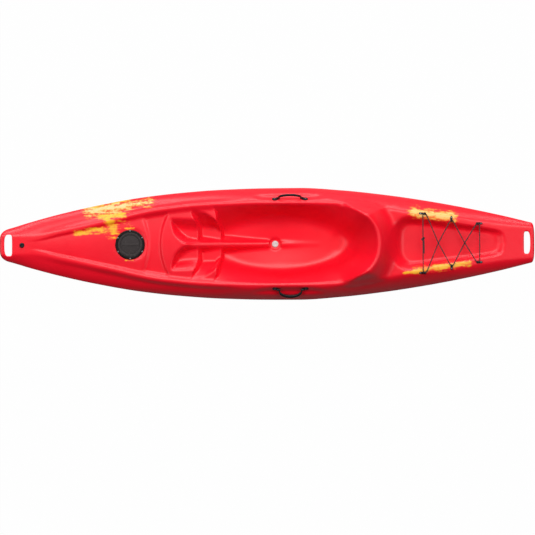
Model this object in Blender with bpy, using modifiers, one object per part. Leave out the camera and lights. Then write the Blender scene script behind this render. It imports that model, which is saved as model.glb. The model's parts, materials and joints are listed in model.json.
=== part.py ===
"""Sit-on-top recreational kayak, modelled as an assembly of separate pieces.

Metres, +Z up.  X runs along the boat with the bow at -X, Y is positive to starboard,
and Z is zero at the underside of the keel.  The hull is a rotomoulded shell, so its outside
is two height surfaces, deck and bottom, that meet on the line of greatest beam.  Both are
written as functions of x and y, and every fitting takes its seat from them.
"""
import math

import bpy
import bmesh
import numpy as np
from mathutils import Matrix, Vector

# Main sizes
LENGTH = 3.205
WALL = 0.006
GAP = 0.0003

# Hull lines: place along the half length (-1 bow, 0 midships, 1 stern) and value in metres
HALF_BEAM = (
    (-1.0, 0.088), (-0.967, 0.099), (-0.886, 0.1376), (-0.774, 0.186), (-0.624, 0.2395),
    (-0.474, 0.2815), (-0.3245, 0.309), (-0.175, 0.3263), (0.0, 0.3345), (0.125, 0.3355),
    (0.275, 0.3205), (0.437, 0.292), (0.587, 0.2565), (0.736, 0.213), (0.874, 0.1657), (1.0, 0.116),
)
KEEL_HEIGHT = (
    (-1.0, 0.299), (-0.964, 0.282), (-0.9485, 0.262), (-0.926, 0.231), (-0.886, 0.194),
    (-0.774, 0.124), (-0.624, 0.071), (-0.474, 0.0455), (-0.3245, 0.028), (-0.175, 0.0105),
    (-0.07, 0.0), (0.281, 0.0), (0.437, 0.0135), (0.587, 0.0235), (0.736, 0.0300), (0.8736, 0.0405),
    (0.8767, 0.062), (0.8986, 0.105), (0.936, 0.145), (0.967, 0.178), (1.0, 0.187),
)
PARTING_HEIGHT = (
    (-1.0, 0.313), (-0.9485, 0.281), (-0.834, 0.240), (-0.748, 0.217), (-0.661, 0.202),
    (-0.574, 0.194), (-0.331, 0.185), (0.0, 0.176), (0.374, 0.176), (0.758, 0.180),
    (0.942, 0.193), (1.0, 0.203),
)
RIM_HEIGHT = (
    (-1.0, 0.3276), (-0.967, 0.3276), (-0.942, 0.322), (-0.886, 0.306), (-0.774, 0.2848),
    (-0.624, 0.2706), (-0.549, 0.272), (-0.4, 0.281), (-0.175, 0.292), (0.0, 0.3015),
    (0.0624, 0.3045), (0.275, 0.304), (0.493, 0.300), (0.6365, 0.2796), (0.796, 0.249),
    (0.892, 0.235), (1.0, 0.222),
)
RIM_PLACE = (
    (-1.0, 0.05), (-0.886, 0.045), (-0.774, 0.081), (-0.587, 0.147), (-0.4, 0.211),
    (-0.206, 0.240), (0.0, 0.2465), (0.125, 0.2465), (0.275, 0.240), (0.518, 0.178),
    (0.686, 0.146), (0.799, 0.116), (0.886, 0.095), (1.0, 0.08),
)
LOW_CHINE_PLACE = (
    (-1.0, 0.030), (-0.886, 0.034), (-0.71, 0.058), (-0.514, 0.100), (-0.38, 0.124),
    (-0.206, 0.138), (0.0, 0.138), (0.24, 0.125), (0.5, 0.0955), (0.71, 0.060), (0.85, 0.034), (1.0, 0.034),
)
LOW_CHINE_HEIGHT = (
    (-1.0, 0.303), (-0.886, 0.214), (-0.71, 0.129), (-0.514, 0.081), (-0.38, 0.060), (-0.206, 0.040),
    (0.0, 0.0265), (0.206, 0.0265), (0.5, 0.048), (0.71, 0.077), (0.85, 0.102), (0.906, 0.122), (1.0, 0.189),
)
HIGH_CHINE_PLACE = (
    (-1.0, 0.05), (-0.886, 0.08), (-0.71, 0.13), (-0.514, 0.185), (-0.38, 0.215), (-0.2, 0.235),
    (0.0, 0.240), (0.24, 0.230), (0.5, 0.194), (0.71, 0.14), (0.87, 0.09), (1.0, 0.07),
)
HIGH_CHINE_HEIGHT = (
    (-1.0, 0.309), (-0.886, 0.235), (-0.71, 0.162), (-0.514, 0.124), (-0.38, 0.109), (-0.206, 0.093),
    (0.0, 0.086), (0.206, 0.086), (0.5, 0.100), (0.71, 0.119), (0.85, 0.139), (0.94, 0.165), (1.0, 0.197),
)
# Depth of the deck panel inside the rims, bow to stern
PANEL_DROP = ((-1.0, 0.0), (-0.9, 0.0), (-0.8, 0.010), (-0.6, 0.014), (-0.2, 0.014), (-0.05, 0.0), (1.0, 0.0))

# Rounding of the moulding
TIP_ROUND = 0.030
TIP_NOSE = 0.014
TIP_FLAT = 0.25
EDGE_ROUND = 0.010
FLOOR_ROUND = 0.050
CHINE_ROUND = 0.010
FLANK_BULGE = 1.35
SIDE_FLARE = 0.75

# Keel
KEEL_HALF_WIDTH = 0.025
KEEL_FLAT = 0.0006
KEEL_STEP = 0.009
KEEL_SIDE = 0.007
BOTTOM_HOLLOW = 0.003
POCKET_FRONT_X = 0.397
POCKET_BACK_X = 0.566
POCKET_HALF_WIDTH = 0.0225
POCKET_SHELF = 0.006
POCKET_DEPTH = 0.034
POCKET_SWELL = 0.010

# Rims and inner panel
RIM_TOP = 0.023
PANEL_RAMP = 0.018
PANEL_CROWN = 0.008

# Cross trough between the hatch and the footwells
TROUGH_FRONT_X = -0.717
TROUGH_BACK_X = -0.632
TROUGH_WAIST = 0.170
TROUGH_FLARE = 0.038
TROUGH_DEPTH = 0.012
TROUGH_RAMP = 0.016

# Seat tub: front edges as (x, y, x, y, wall slope) on the starboard side
TUB_FRONT_X = -0.276
TUB_FRONT_EDGES = (
    (-0.300, 0.0, -0.304, 0.150, 4.5),
    (-0.306, 0.174, -0.332, 0.222, 2.6),
)
TUB_CENTRE = (0.0, 0.05)
TUB_FRONT_SWEEP = 0.108
TUB_FRONT_HALF_WIDTH = 0.222
TUB_END_X = 0.664
TUB_END_LENGTH = 0.284
TUB_END_FULLNESS = 2.2
FLOOR_Z = 0.0875
FLOOR_RISE = 0.012
FLOOR_X = 0.075
FLOOR_HALF_LENGTH = 0.42
FLOOR_HALF_WIDTH = 0.170
DISH_X = 0.048
DISH_RADIUS = 0.039
DISH_DEPTH = 0.008
DISH_WALL = 0.010

# Moulded backrest
BACK_HEIGHT = 0.118
BACK_START_X = 0.42
BACK_FULL_X = 0.60
BACK_DROOP = 0.010
BACK_ROUND = 0.040
BACK_SLOPE = 1.9
BACK_SIDE_SLOPE = 2.6
BACK_FOOT_ROUND = 0.030

# Footwell steps: tread heights, and edges as (x, y, x, y, wall slope) on the starboard side
UPPER_TREAD_Z = 0.220
LOWER_TREAD_Z = 0.172
STEP_FILLET = 0.016
STEPS_REACH = 0.1
NOT_SUNK = 1.0
UPPER_STEP_EDGES = (
    (-0.579, 0.153, -0.435, 0.147, 1.15),
    (-0.579, 0.153, -0.570, 0.096, 1.7),
    (-0.570, 0.096, -0.552, 0.054, 1.7),
    (-0.552, 0.054, -0.512, 0.018, 1.7),
    (-0.512, 0.018, -0.470, -0.004, 1.9),
)
LOWER_STEP_SIDE = ((-0.462, 0.204), (-0.414, 0.201), (-0.366, 0.186), (-0.330, 0.162), (-0.285, 0.117))
LOWER_STEP_BASE = 0.108
LOWER_STEP_LEAST = 0.032
LOWER_STEP_FRONT = (
    (-0.462, 0.204, -0.436, 0.147, 2.4),
    (-0.436, 0.130, -0.440, 0.0, 2.4),
)
UPPER_STEP_CENTRE = (-0.47, 0.075)
LOWER_STEP_CENTRE = (-0.36, 0.075)

# Spine between the footwells
SPINE_FRONT_X = -0.536
SPINE_END_X = 0.316
SPINE_HALF_WIDTH = 0.015
SPINE_END_HALF_WIDTH = 0.010
SPINE_SLOPE = 2.0
SPINE_FALL = 2.2

# Tankwell: edges as (x, y, x, y, wall slope) on the starboard side
TANK_EDGES = (
    (0.7235, -0.030, 0.7290, 0.045, 1.0),
    (0.729, 0.045, 0.7445, 0.084, 1.0),
    (0.7445, 0.084, 0.767, 0.120, 1.0),
    (0.767, 0.120, 0.797, 0.148, 1.1),
    (0.797, 0.148, 0.850, 0.1615, 1.3),
    (0.850, 0.1615, 1.381, 0.077, 1.5),
    (1.381, 0.077, 1.410, 0.060, 1.2),
    (1.410, 0.060, 1.421, 0.030, 0.9),
    (1.421, 0.030, 1.4225, -0.020, 0.8),
)
TANK_START_X = 0.69
TANK_CENTRE = (1.0, 0.02)
TANK_FILLET = 0.016
TANK_FLOOR_FRONT_Z = 0.243
TANK_FLOOR_BACK_Z = 0.209
TANK_FRONT_X = 0.80
TANK_BACK_X = 1.40

# Side scallops and the bare panels behind them
SCALLOP_X = 0.137
SCALLOP_HALF_LENGTH = 0.318
SCALLOP_TOP_PLACE = 0.2585
SCALLOP_SLOPE = 2.14
SCALLOP_SHELF_Z = 0.262
SCALLOP_SHELF_PLACE = 0.280
SCALLOP_SHELF_SLOPE = 0.35
SCALLOP_FADE = 0.06
SIDE_PANEL_FRONT_X = 0.800
SIDE_PANEL_BACK_X = 1.084
SIDE_PANEL_DEPTH = 0.003
SIDE_PANEL_RAMP = 0.008

# Grip slots in the ends
BOW_SLOT = (-1.575, -1.529, 0.128)
STERN_SLOT = (1.540, 1.578, 0.133)
CAVITY_BOW_X = -1.500
CAVITY_STERN_X = 1.505

# Hatch.  Its heights are above the flat land it sits on
HATCH_X = -0.822
HATCH_LAND_Z = 0.2625
HATCH_LAND_RADIUS = 0.104
HATCH_SEAT_RADIUS = 0.0905
HATCH_HOLE_RADIUS = 0.0785
LAND_RAMP = 0.012
LAND_SINK = 0.001
RING_RADIUS = 0.0885
RING_THICK = 0.005
RING_BORE = 0.0742
RING_LEDGE_BORE = 0.068
RING_LEDGE_DEPTH = 0.007
SPIGOT_RADIUS = 0.0775
SPIGOT_DEPTH = 0.022
GASKET_THICK = 0.0015
GASKET_BORE = 0.0790
GASKET_RADIUS = 0.0872
LID_RADIUS = 0.0735
LID_NECK_RADIUS = 0.0665
LID_THICK = 0.0045
LID_DISH_RADIUS = 0.060
LID_DISH_DEPTH = 0.0035
LID_SKIRT = 0.018
LID_WALL = 0.0035
LID_BAR = (0.100, 0.014, 0.0030)
LID_SEAL_THICK = 0.002
LID_SEAL_BORE = 0.0688
LID_SEAL_RADIUS = 0.0731
HATCH_SCREWS = 6
HATCH_SCREW_CIRCLE = 0.0830
HATCH_FACET_TURN = 4.3

# Drain plugs, each screwed into an insert through the hull
BOW_PLUG_X = -1.470
BOW_CAP_RADIUS = 0.0125
BOW_CAP_HEIGHT = 0.005
SEAT_CAP_RADIUS = 0.0195
SEAT_CAP_HEIGHT = 0.004
PLUG_SHANK_RADIUS = 0.0078
PLUG_LENGTH = 0.013
PLUG_SEAL_BORE = 0.0086
PLUG_SEAL_RADIUS = 0.0115
PLUG_SEAL_THICK = 0.0015
INSERT_BORE = 0.0083
INSERT_RADIUS = 0.0110
INSERT_LENGTH = 0.012
INSERT_FLANGE_RADIUS = 0.0140
INSERT_FLANGE = 0.0015
INSERT_SEAT_RADIUS = 0.0160
SEAT_PLUG_SEAT_RADIUS = 0.0215

# Carry handles.  Heights are above the wall of the side scallop they are fixed to
HANDLE_X = 0.1377
HANDLE_SPACING = 0.181
HANDLE_PLACE = 0.268
PAD_RADIUS = 0.018
PAD_THICK = 0.004
PAD_NECK_END = 0.0195
PAD_NECK_HALF_WIDTH = 0.008
PAD_SEAT_MARGIN = 0.0012
PAD_SEAT_HALF_WIDTH = 0.0125
PAD_SEAT_END = 0.0320
LUG_START = 0.009
LUG_HALF_WIDTH = 0.0055
LUG_HEIGHT = 0.0125
PIVOT_HEIGHT = 0.0084
PIVOT_DROP = 0.004
PIVOT_PIN_RADIUS = 0.0033
PIVOT_PIN_END = 0.0293
PAD_SCREW_X = -0.003
EYE_BORE_RADIUS = 0.0037
EYE_RADIUS = 0.0070
EYE_START = 0.0203
EYE_WIDTH = 0.008
GRIP_ROOT = 0.0015
GRIP_REACH = 0.041
GRIP_HALF_WIDTH = 0.0095
GRIP_HALF_DEPTH = 0.007
GRIP_NECK_HALF_WIDTH = 0.0038
GRIP_NECK_HALF_DEPTH = 0.0042
GRIP_SWELL = 3.0
GRIP_SHOULDER = 1.6
GRIP_FACET_TURN = 6.3
PORT_HANDLE_ANGLE = -22.0
STARBOARD_HANDLE_ANGLE = 68.0
HANDLE_INSERT_RADIUS = 0.0042
HANDLE_INSERT_LENGTH = 0.010

# Lashing eyes: arch and screw middle (x, distance from centre line), direction and distance
# from arch to screw
EYES = (
    ("front", 0.932, 0.1775, (-1.0, 0.0), 0.026),
    ("middle", 1.105, 0.1450, (0.0, 1.0), 0.015),
    ("rear", 1.2715, 0.1160, (1.0, 0.0), 0.021),
)
EYE_BASE_RADIUS = 0.0065
EYE_BASE_THICK = 0.003
EYE_BASE_OVERHANG = 0.003
EYE_ARCH_RADIUS = 0.0070
EYE_WIRE_RADIUS = 0.0021
EYE_ARCH_LEG = 0.0055
EYE_SEAT_MARGIN = 0.0008
EYE_SLOPE_REACH = 0.010

# Bungee
CORD_RADIUS = 0.003
CORD_LIFT = 0.0082
CORD_TURN = 0.010
CORNER_LIFT = 0.003
CROSSING_LIFT = 0.0037
KNOT_PLACE = 0.026
KNOT_LENGTH = 0.024
KNOT_RADIUS = 0.0088
KNOT_WAIST = 0.0070
TAIL_LENGTH = 0.030

# Skid plate
SKID_X = 1.3475
SKID_LENGTH = 0.101
SKID_HALF_WIDTH = 0.0195
SKID_THICK = 0.008
SKID_SINK = 0.002
SKID_CORNER = 0.005
SKID_SCREW_SPACING = 0.051
SKID_HEAD_RADIUS = 0.0050
SKID_HEAD_DEPTH = 0.0036

# Screws
SCREW_HEAD_RADIUS = 0.0042
SCREW_HEAD_HEIGHT = 0.0022
SCREW_SHANK_RADIUS = 0.0019
SCREW_HOLE_RADIUS = 0.0023
SCREW_LENGTH = 0.014

# Foam blocks between bottom and deck: x from, x to, half width
SEAT_FOAM = (0.14, 0.36, 0.060)
STERN_FOAM = (0.90, 1.12, 0.045)
FOAM_BITE = 0.0014

# Facets
STATION_STEP = 0.007
INNER_STATION_STEP = 0.012
OUTSIDE_FACETS = 3900
INSIDE_FACETS = 1000
ROUND_STEPS = 26
SMALL_STEPS = 12
SCREW_STEPS = 8

# Colours
RED = (0.80, 0.010, 0.030)
BLACK = (0.020, 0.020, 0.022)
DARK_GREY = (0.055, 0.055, 0.060)
PALE_GREY = (0.62, 0.60, 0.58)
STEEL = (0.55, 0.55, 0.56)
BRASS = (0.62, 0.45, 0.20)
FOAM_WHITE = (0.80, 0.80, 0.78)


# Small curve and blend functions

def fair(line, x):
    """Value at x of the smooth curve through a hull line's points, with no overshoot."""
    place, value = np.array(line, dtype=float).T
    place = place * LENGTH / 2
    x = np.clip(x, place[0], place[-1])
    step = np.diff(place)
    slope = np.diff(value) / step
    before, after = slope[:-1], slope[1:]
    same = before * after > 0
    near, far = 2 * step[1:] + step[:-1], step[1:] + 2 * step[:-1]
    safe_before = np.where(same, before, 1.0)
    safe_after = np.where(same, after, 1.0)
    mean = (near + far) / (near / safe_before + far / safe_after)
    tangent = np.concatenate(([slope[0]], np.where(same, mean, 0.0), [slope[-1]]))
    i = np.clip(np.searchsorted(place, x, side="right") - 1, 0, len(step) - 1)
    t = (x - place[i]) / step[i]
    rise = value[i] + (value[i + 1] - value[i]) * t * t * (3 - 2 * t)
    lean = step[i] * t * (1 - t) * (tangent[i] * (1 - t) - tangent[i + 1] * t)
    return rise + lean


def smooth(t):
    t = np.clip(t, 0.0, 1.0)
    return t * t * (3 - 2 * t)


def soft_max(a, b, radius):
    overlap = np.maximum(radius - np.abs(a - b), 0.0)
    return np.maximum(a, b) + overlap * overlap / (4 * radius)


def soft_min(a, b, radius):
    return -soft_max(-a, -b, radius)


def tip_distance(x):
    return np.maximum(LENGTH / 2 - np.abs(x), 0.0)


def half_beam(x):
    """Half breadth of the hull, with its ends rounded in plan."""
    inside = np.clip(1 - tip_distance(x) / TIP_ROUND, 0.0, 1.0)
    return fair(HALF_BEAM, x) * (0.35 + 0.65 * (1 - inside ** 2.5) ** 0.4)


def nose(x):
    """Share of the full thickness near the two ends, which close to a rounded nose."""
    inside = np.clip(1 - tip_distance(x) / TIP_NOSE, 0.0, 1.0)
    return TIP_FLAT + (1 - TIP_FLAT) * np.sqrt(1 - inside ** 2)


# Hull bottom

def bottom_surface(x, y):
    """Height of the hull's underside at x, y."""
    y = np.abs(y)
    beam = half_beam(x)
    y = np.minimum(y, beam)
    keel = fair(KEEL_HEIGHT, x)
    parting = fair(PARTING_HEIGHT, x)
    low_y = np.minimum(fair(LOW_CHINE_PLACE, x), 0.45 * beam)
    high_y = np.minimum(fair(HIGH_CHINE_PLACE, x), 0.75 * beam)
    body = keel + KEEL_STEP * smooth((parting - keel) / (4 * KEEL_STEP))
    low_z = np.maximum(fair(LOW_CHINE_HEIGHT, x), body)
    high_z = fair(HIGH_CHINE_HEIGHT, x)
    first = body + (low_z - body) * np.minimum(y / low_y, 1.0)
    hollow = np.clip((y - KEEL_HALF_WIDTH) / (low_y - KEEL_HALF_WIDTH + KEEL_SIDE), 0.0, 1.0)
    first = first + BOTTOM_HOLLOW * np.sin(math.pi * hollow)
    second = low_z + (high_z - low_z) * (y - low_y) / (high_y - low_y)
    reach = np.clip((y - high_y) / (beam - high_y), -1.0, 1.0)
    side = high_z + (parting - high_z) * (1 - (1 - reach) ** SIDE_FLARE)
    z = soft_max(first, second, CHINE_ROUND)
    z = np.where(reach > -0.6, soft_max(z, side, CHINE_ROUND), z)
    swell = POCKET_SWELL * smooth(1 - np.abs(x - (POCKET_FRONT_X + POCKET_BACK_X) / 2) / 0.13)
    ridge = 1 - smooth((y - KEEL_HALF_WIDTH - swell) / KEEL_SIDE)
    z = z + (keel - np.minimum(z, body)) * ridge * (y < KEEL_HALF_WIDTH + KEEL_SIDE + swell)
    z = np.where(y <= KEEL_HALF_WIDTH + swell, keel, z)
    z = z + keel_pocket(x, y)
    z = np.minimum(z, parting)
    return parting - (parting - z) * nose(x)


def keel_pocket(x, y):
    """Depth of the slot moulded into the keel under the seat."""
    length = POCKET_BACK_X - POCKET_FRONT_X
    along = (x - POCKET_FRONT_X) / length
    shelf = POCKET_SHELF * smooth(along / 0.08)
    ramp = (POCKET_DEPTH - POCKET_SHELF) * smooth((along - 0.45) / 0.35)
    wall = smooth((1 - along) * length / KEEL_SIDE)
    inside = smooth((POCKET_HALF_WIDTH - y) / (KEEL_SIDE / 2))
    return (shelf + ramp) * wall * inside * (along > 0) * (along < 1)


# Deck

def edge_distance(edge, centre, x, y):
    """Distance inside one straight edge in plan, positive on the centre's side."""
    x1, y1, x2, y2, _slope = edge
    across = np.array((y2 - y1, x1 - x2)) / math.hypot(x2 - x1, y2 - y1)
    side = 1.0 if (centre[0] - x1) * across[0] + (centre[1] - y1) * across[1] > 0 else -1.0
    return side * ((x - x1) * across[0] + (y - y1) * across[1])


def front_wall(x, y, top, edges, centre, fillet):
    """Sloping wall below a line of edges that bends away from the recess."""
    wall = top + 10.0
    for edge in edges:
        wall = soft_min(wall, top - edge[4] * edge_distance(edge, centre, x, y), fillet)
    return wall


def lower_side(x, y, top):
    """Outer wall of the lower footwell, which grows steeper towards the tub."""
    places, values = np.array(LOWER_STEP_SIDE).T
    edge_y = np.interp(x, places, values)
    width = np.maximum(edge_y - LOWER_STEP_BASE, LOWER_STEP_LEAST)
    return LOWER_TREAD_Z + (top - LOWER_TREAD_Z) * (y - edge_y + width) / width


def sloped_pocket(x, y, top, edges, centre, floor, fillet):
    """A recess with a flat floor and sloping walls below the surface 'top'."""
    wall = top - 10.0
    for edge in edges:
        wall = soft_max(wall, top - edge[4] * edge_distance(edge, centre, x, y), fillet)
    return soft_max(wall, floor, fillet)


def rim_distance(x, y):
    """Distance inside the seat tub's outline, and the rim point across from x, y."""
    half = fair(RIM_PLACE, x) - RIM_TOP / 2
    bend_x = TUB_END_X - TUB_END_LENGTH
    bend_half = fair(RIM_PLACE, bend_x) - RIM_TOP / 2
    ahead = np.maximum(x - bend_x, 0.0)
    size = (ahead / TUB_END_LENGTH) ** TUB_END_FULLNESS + (y / bend_half) ** TUB_END_FULLNESS
    scale = np.maximum(size, 1e-6) ** (-1 / TUB_END_FULLNESS)
    radius = np.hypot(ahead, y)
    inside = np.where(x > bend_x, radius * (scale - 1), half - y)
    rim_x = np.where(x > bend_x, bend_x + ahead * scale, x)
    return inside, rim_x


def rim_top(rim_x):
    """Height of the tub's rim, which rises round the back to make the backrest."""
    rise = smooth((rim_x - BACK_START_X) / (BACK_FULL_X - BACK_START_X))
    droop = BACK_DROOP * np.clip((rim_x - BACK_FULL_X) / (TUB_END_X - BACK_FULL_X), 0.0, 1.0)
    return fair(RIM_HEIGHT, rim_x) + (BACK_HEIGHT - droop) * rise


def flank(x, y):
    """Outer side of the deck, from the rim down to the line of greatest beam."""
    beam = half_beam(x)
    rim_y = np.minimum(fair(RIM_PLACE, x) + RIM_TOP / 3, 0.8 * beam)
    rim_z = fair(RIM_HEIGHT, x)
    parting = fair(PARTING_HEIGHT, x)
    reach = np.clip((y - rim_y) / (beam - rim_y), 0.0, 1.0)
    z = parting + (rim_z - parting) * (1 - reach ** FLANK_BULGE) ** (1 / FLANK_BULGE)
    lens = 1 - np.clip(np.abs(x - SCALLOP_X) / SCALLOP_HALF_LENGTH, 0.0, 1.0) ** 4
    top_y = SCALLOP_TOP_PLACE + SCALLOP_FADE * (1 - lens)
    wall = rim_z - SCALLOP_SLOPE * (y - top_y)
    shelf = SCALLOP_SHELF_Z - SCALLOP_SHELF_SLOPE * (y - SCALLOP_SHELF_PLACE)
    notch = soft_max(wall, shelf, EDGE_ROUND / 2)
    z = np.where(lens > 0, soft_min(z, notch, EDGE_ROUND / 4), z)
    along = np.minimum(x - SIDE_PANEL_FRONT_X, SIDE_PANEL_BACK_X - x)
    up = np.minimum(reach - 0.22, 0.80 - reach) * (beam - rim_y)
    panel = smooth(along / SIDE_PANEL_RAMP) * smooth(up / SIDE_PANEL_RAMP)
    return z - SIDE_PANEL_DEPTH * panel


def panel_surface(x, y):
    """Deck between the rims, before the footwells, tub and tankwell are sunk into it."""
    rim_y = fair(RIM_PLACE, x)
    rim_z = fair(RIM_HEIGHT, x)
    inward = np.clip((rim_y - RIM_TOP / 2 - y) / PANEL_RAMP, 0.0, 1.0)
    drop = fair(PANEL_DROP, x)
    crown = PANEL_CROWN * np.clip(1 - (y / rim_y) ** 2, 0.0, 1.0) * drop / 0.014
    z = rim_z - drop * smooth(inward) + crown * smooth(inward)
    waist = TROUGH_FLARE * (y / TROUGH_WAIST) ** 2
    ahead = smooth((x - TROUGH_FRONT_X + waist) / TROUGH_RAMP)
    behind = smooth((TROUGH_BACK_X + waist - x) / TROUGH_RAMP)
    ends = smooth((rim_y - RIM_TOP - y) / TROUGH_RAMP)
    z = z - TROUGH_DEPTH * ahead * behind * ends
    from_hatch = np.hypot(x - HATCH_X, y)
    land = smooth((HATCH_LAND_RADIUS - from_hatch) / LAND_RAMP)
    return z + (HATCH_LAND_Z + LAND_SINK - z) * land


def backrest(x, y):
    """Outer face of the moulded backrest, over the deck behind the tub."""
    inside, rim_x = rim_distance(x, y)
    away = np.maximum(-inside, 0.0)
    face = rim_top(rim_x) - BACK_SLOPE * (np.hypot(away, BACK_ROUND) - BACK_ROUND)
    limit = fair(RIM_HEIGHT, x) + BACK_SIDE_SLOPE * (fair(RIM_PLACE, x) + RIM_TOP / 4 - y)
    fade = BACK_FOOT_ROUND * (1 - smooth((x - BACK_START_X) / 0.08))
    return soft_min(face, limit, 2 * EDGE_ROUND) - fade


def seat_tub(x, y):
    """Floor and walls of the seat tub."""
    inside, rim_x = rim_distance(x, y)
    top = rim_top(rim_x)
    size = np.hypot((x - FLOOR_X) / FLOOR_HALF_LENGTH, y / FLOOR_HALF_WIDTH)
    radius = np.hypot(x - FLOOR_X, y)
    outside = radius * np.clip(1 - 1 / np.maximum(size, 1e-6), 0.0, 1.0)
    share = outside / np.maximum(outside + np.maximum(inside, 0.0), 1e-6)
    floor = FLOOR_Z + FLOOR_RISE * np.minimum(size, 1.0) ** 2
    wall = floor + (top - floor) * share - np.minimum(inside, 0.0) * 3.0
    tub = soft_max(wall, floor, FLOOR_ROUND)
    front = front_wall(x, y, fair(RIM_HEIGHT, x), TUB_FRONT_EDGES, TUB_CENTRE, EDGE_ROUND)
    tub = soft_max(tub, front, STEP_FILLET)
    from_dish = np.hypot(x - DISH_X, y)
    return tub - DISH_DEPTH * smooth((DISH_RADIUS - from_dish) / DISH_WALL)


def spine(x, y):
    """Raised spine that parts the footwells and dies away in the seat floor."""
    along = np.clip((x - SPINE_FRONT_X) / (SPINE_END_X - SPINE_FRONT_X), 0.0, 1.0)
    from_middle = np.clip(np.abs(x - FLOOR_X) / FLOOR_HALF_LENGTH, 0.0, 1.0)
    foot = FLOOR_Z + FLOOR_ROUND / 4 + FLOOR_RISE * from_middle ** 2
    top = foot + (fair(RIM_HEIGHT, x) - foot) * (1 - along) ** SPINE_FALL
    half = SPINE_HALF_WIDTH + (SPINE_END_HALF_WIDTH - SPINE_HALF_WIDTH) * along
    z = top - SPINE_SLOPE * np.maximum(y - half, 0.0)
    from_dish = np.hypot(x - DISH_X, y)
    return z - 0.05 * smooth((DISH_RADIUS - from_dish) / DISH_WALL) - 0.02 * (along >= 1)


def deck_surface(x, y):
    """Height of the deck, with everything moulded into it, at x, y."""
    y = np.minimum(np.abs(y), half_beam(x))
    z = np.minimum(panel_surface(x, y), flank(x, y))
    share = (x - TANK_FRONT_X) / (TANK_BACK_X - TANK_FRONT_X)
    tank_floor = TANK_FLOOR_FRONT_Z + (TANK_FLOOR_BACK_Z - TANK_FLOOR_FRONT_Z) * share
    tank = sloped_pocket(x, y, z, TANK_EDGES, TANK_CENTRE, tank_floor, TANK_FILLET)
    z = np.where(x > TANK_START_X, soft_min(z, tank, EDGE_ROUND), z)
    rim_y = fair(RIM_PLACE, x)
    behind = (x > BACK_START_X) & (y < rim_y + RIM_TOP)
    z = np.where(behind, soft_max(z, backrest(x, y), BACK_FOOT_ROUND), z)
    upper = sloped_pocket(x, y, z, UPPER_STEP_EDGES, UPPER_STEP_CENTRE, UPPER_TREAD_Z, STEP_FILLET)
    riser = front_wall(x, y, z, LOWER_STEP_FRONT, LOWER_STEP_CENTRE, EDGE_ROUND)
    lower = soft_max(riser, lower_side(x, y, z), STEP_FILLET)
    lower = soft_max(lower, LOWER_TREAD_Z, STEP_FILLET)
    steps = soft_min(upper, lower, EDGE_ROUND)
    sunk = np.where(x < TUB_FRONT_X + STEPS_REACH, steps, z + NOT_SUNK)
    tub = np.where(x < TUB_END_X + EDGE_ROUND, seat_tub(x, y), z + NOT_SUNK)
    sunk = soft_min(sunk, tub, EDGE_ROUND)
    sunk = soft_max(sunk, spine(x, y), EDGE_ROUND)
    z = soft_min(z, sunk, EDGE_ROUND / 2)
    parting = fair(PARTING_HEIGHT, x)
    z = np.where(y > rim_y + RIM_TOP, np.maximum(z, parting), z)
    return parting + (z - parting) * nose(x)


# Inner skin: the outer surfaces moved inwards by the wall

def wall_ball():
    """Offsets and heights of the points of a ball as large as the wall is thick."""
    points = [(0.0, 0.0, WALL)]
    for share in (0.5, 0.87, 1.0):
        height = WALL * math.sqrt(1 - share * share)
        for k in range(8):
            turn = math.pi * (k + share) / 4
            points.append((WALL * share * math.cos(turn), WALL * share * math.sin(turn), height))
    return points


def deck_inside(x, y):
    return np.min([deck_surface(x + dx, y + dy) - rise for dx, dy, rise in wall_ball()], axis=0)


def bottom_inside(x, y):
    return np.max([bottom_surface(x + dx, y + dy) + rise for dx, dy, rise in wall_ball()], axis=0)


# Mesh helpers

def clear_scene():
    for old in list(bpy.data.objects):
        bpy.data.objects.remove(old, do_unlink=True)
    for old in list(bpy.data.collections):
        bpy.data.collections.remove(old)


def make_collection(name):
    made = bpy.data.collections.new(name)
    bpy.context.scene.collection.children.link(made)
    return made


def make_material(name, colour, roughness, metallic=0.0):
    made = bpy.data.materials.new(name)
    made.use_nodes = True
    shader = made.node_tree.nodes["Principled BSDF"]
    shader.inputs["Base Color"].default_value = (*colour, 1.0)
    shader.inputs["Roughness"].default_value = roughness
    shader.inputs["Metallic"].default_value = metallic
    made.diffuse_color = (*colour, 1.0)
    return made


def add_object(name, mesh, material, collection, matrix=None):
    made = bpy.data.objects.new(name, mesh)
    collection.objects.link(made)
    if material is not None:
        mesh.materials.append(material)
    if matrix is not None:
        made.matrix_world = matrix
    return made


def add_boolean(target, other, operation):
    cut = target.modifiers.new(operation.lower(), "BOOLEAN")
    cut.operation = operation
    cut.solver = "EXACT"
    if isinstance(other, bpy.types.Collection):
        cut.operand_type = "COLLECTION"
        cut.collection = other
    else:
        cut.object = other
    return cut


def hide_tool(tool):
    tool.hide_render = True
    tool.display_type = "WIRE"
    return tool


def apply_modifiers(made):
    """Turn an object's evaluated shape into its own mesh."""
    graph = bpy.context.evaluated_depsgraph_get()
    mesh = bpy.data.meshes.new_from_object(made.evaluated_get(graph))
    made.modifiers.clear()
    made.data = mesh
    return made


def join_shapes(base, *others):
    """Union of several overlapping shapes, kept as one mesh under the base's name."""
    for other in others:
        add_boolean(base, other, "UNION")
    bpy.context.view_layer.update()
    apply_modifiers(base)
    for other in others:
        bpy.data.objects.remove(other, do_unlink=True)
    return base


def cut_shapes(base, *others):
    for other in others:
        add_boolean(base, other, "DIFFERENCE")
    bpy.context.view_layer.update()
    apply_modifiers(base)
    for other in others:
        bpy.data.objects.remove(other, do_unlink=True)
    return base


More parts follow.
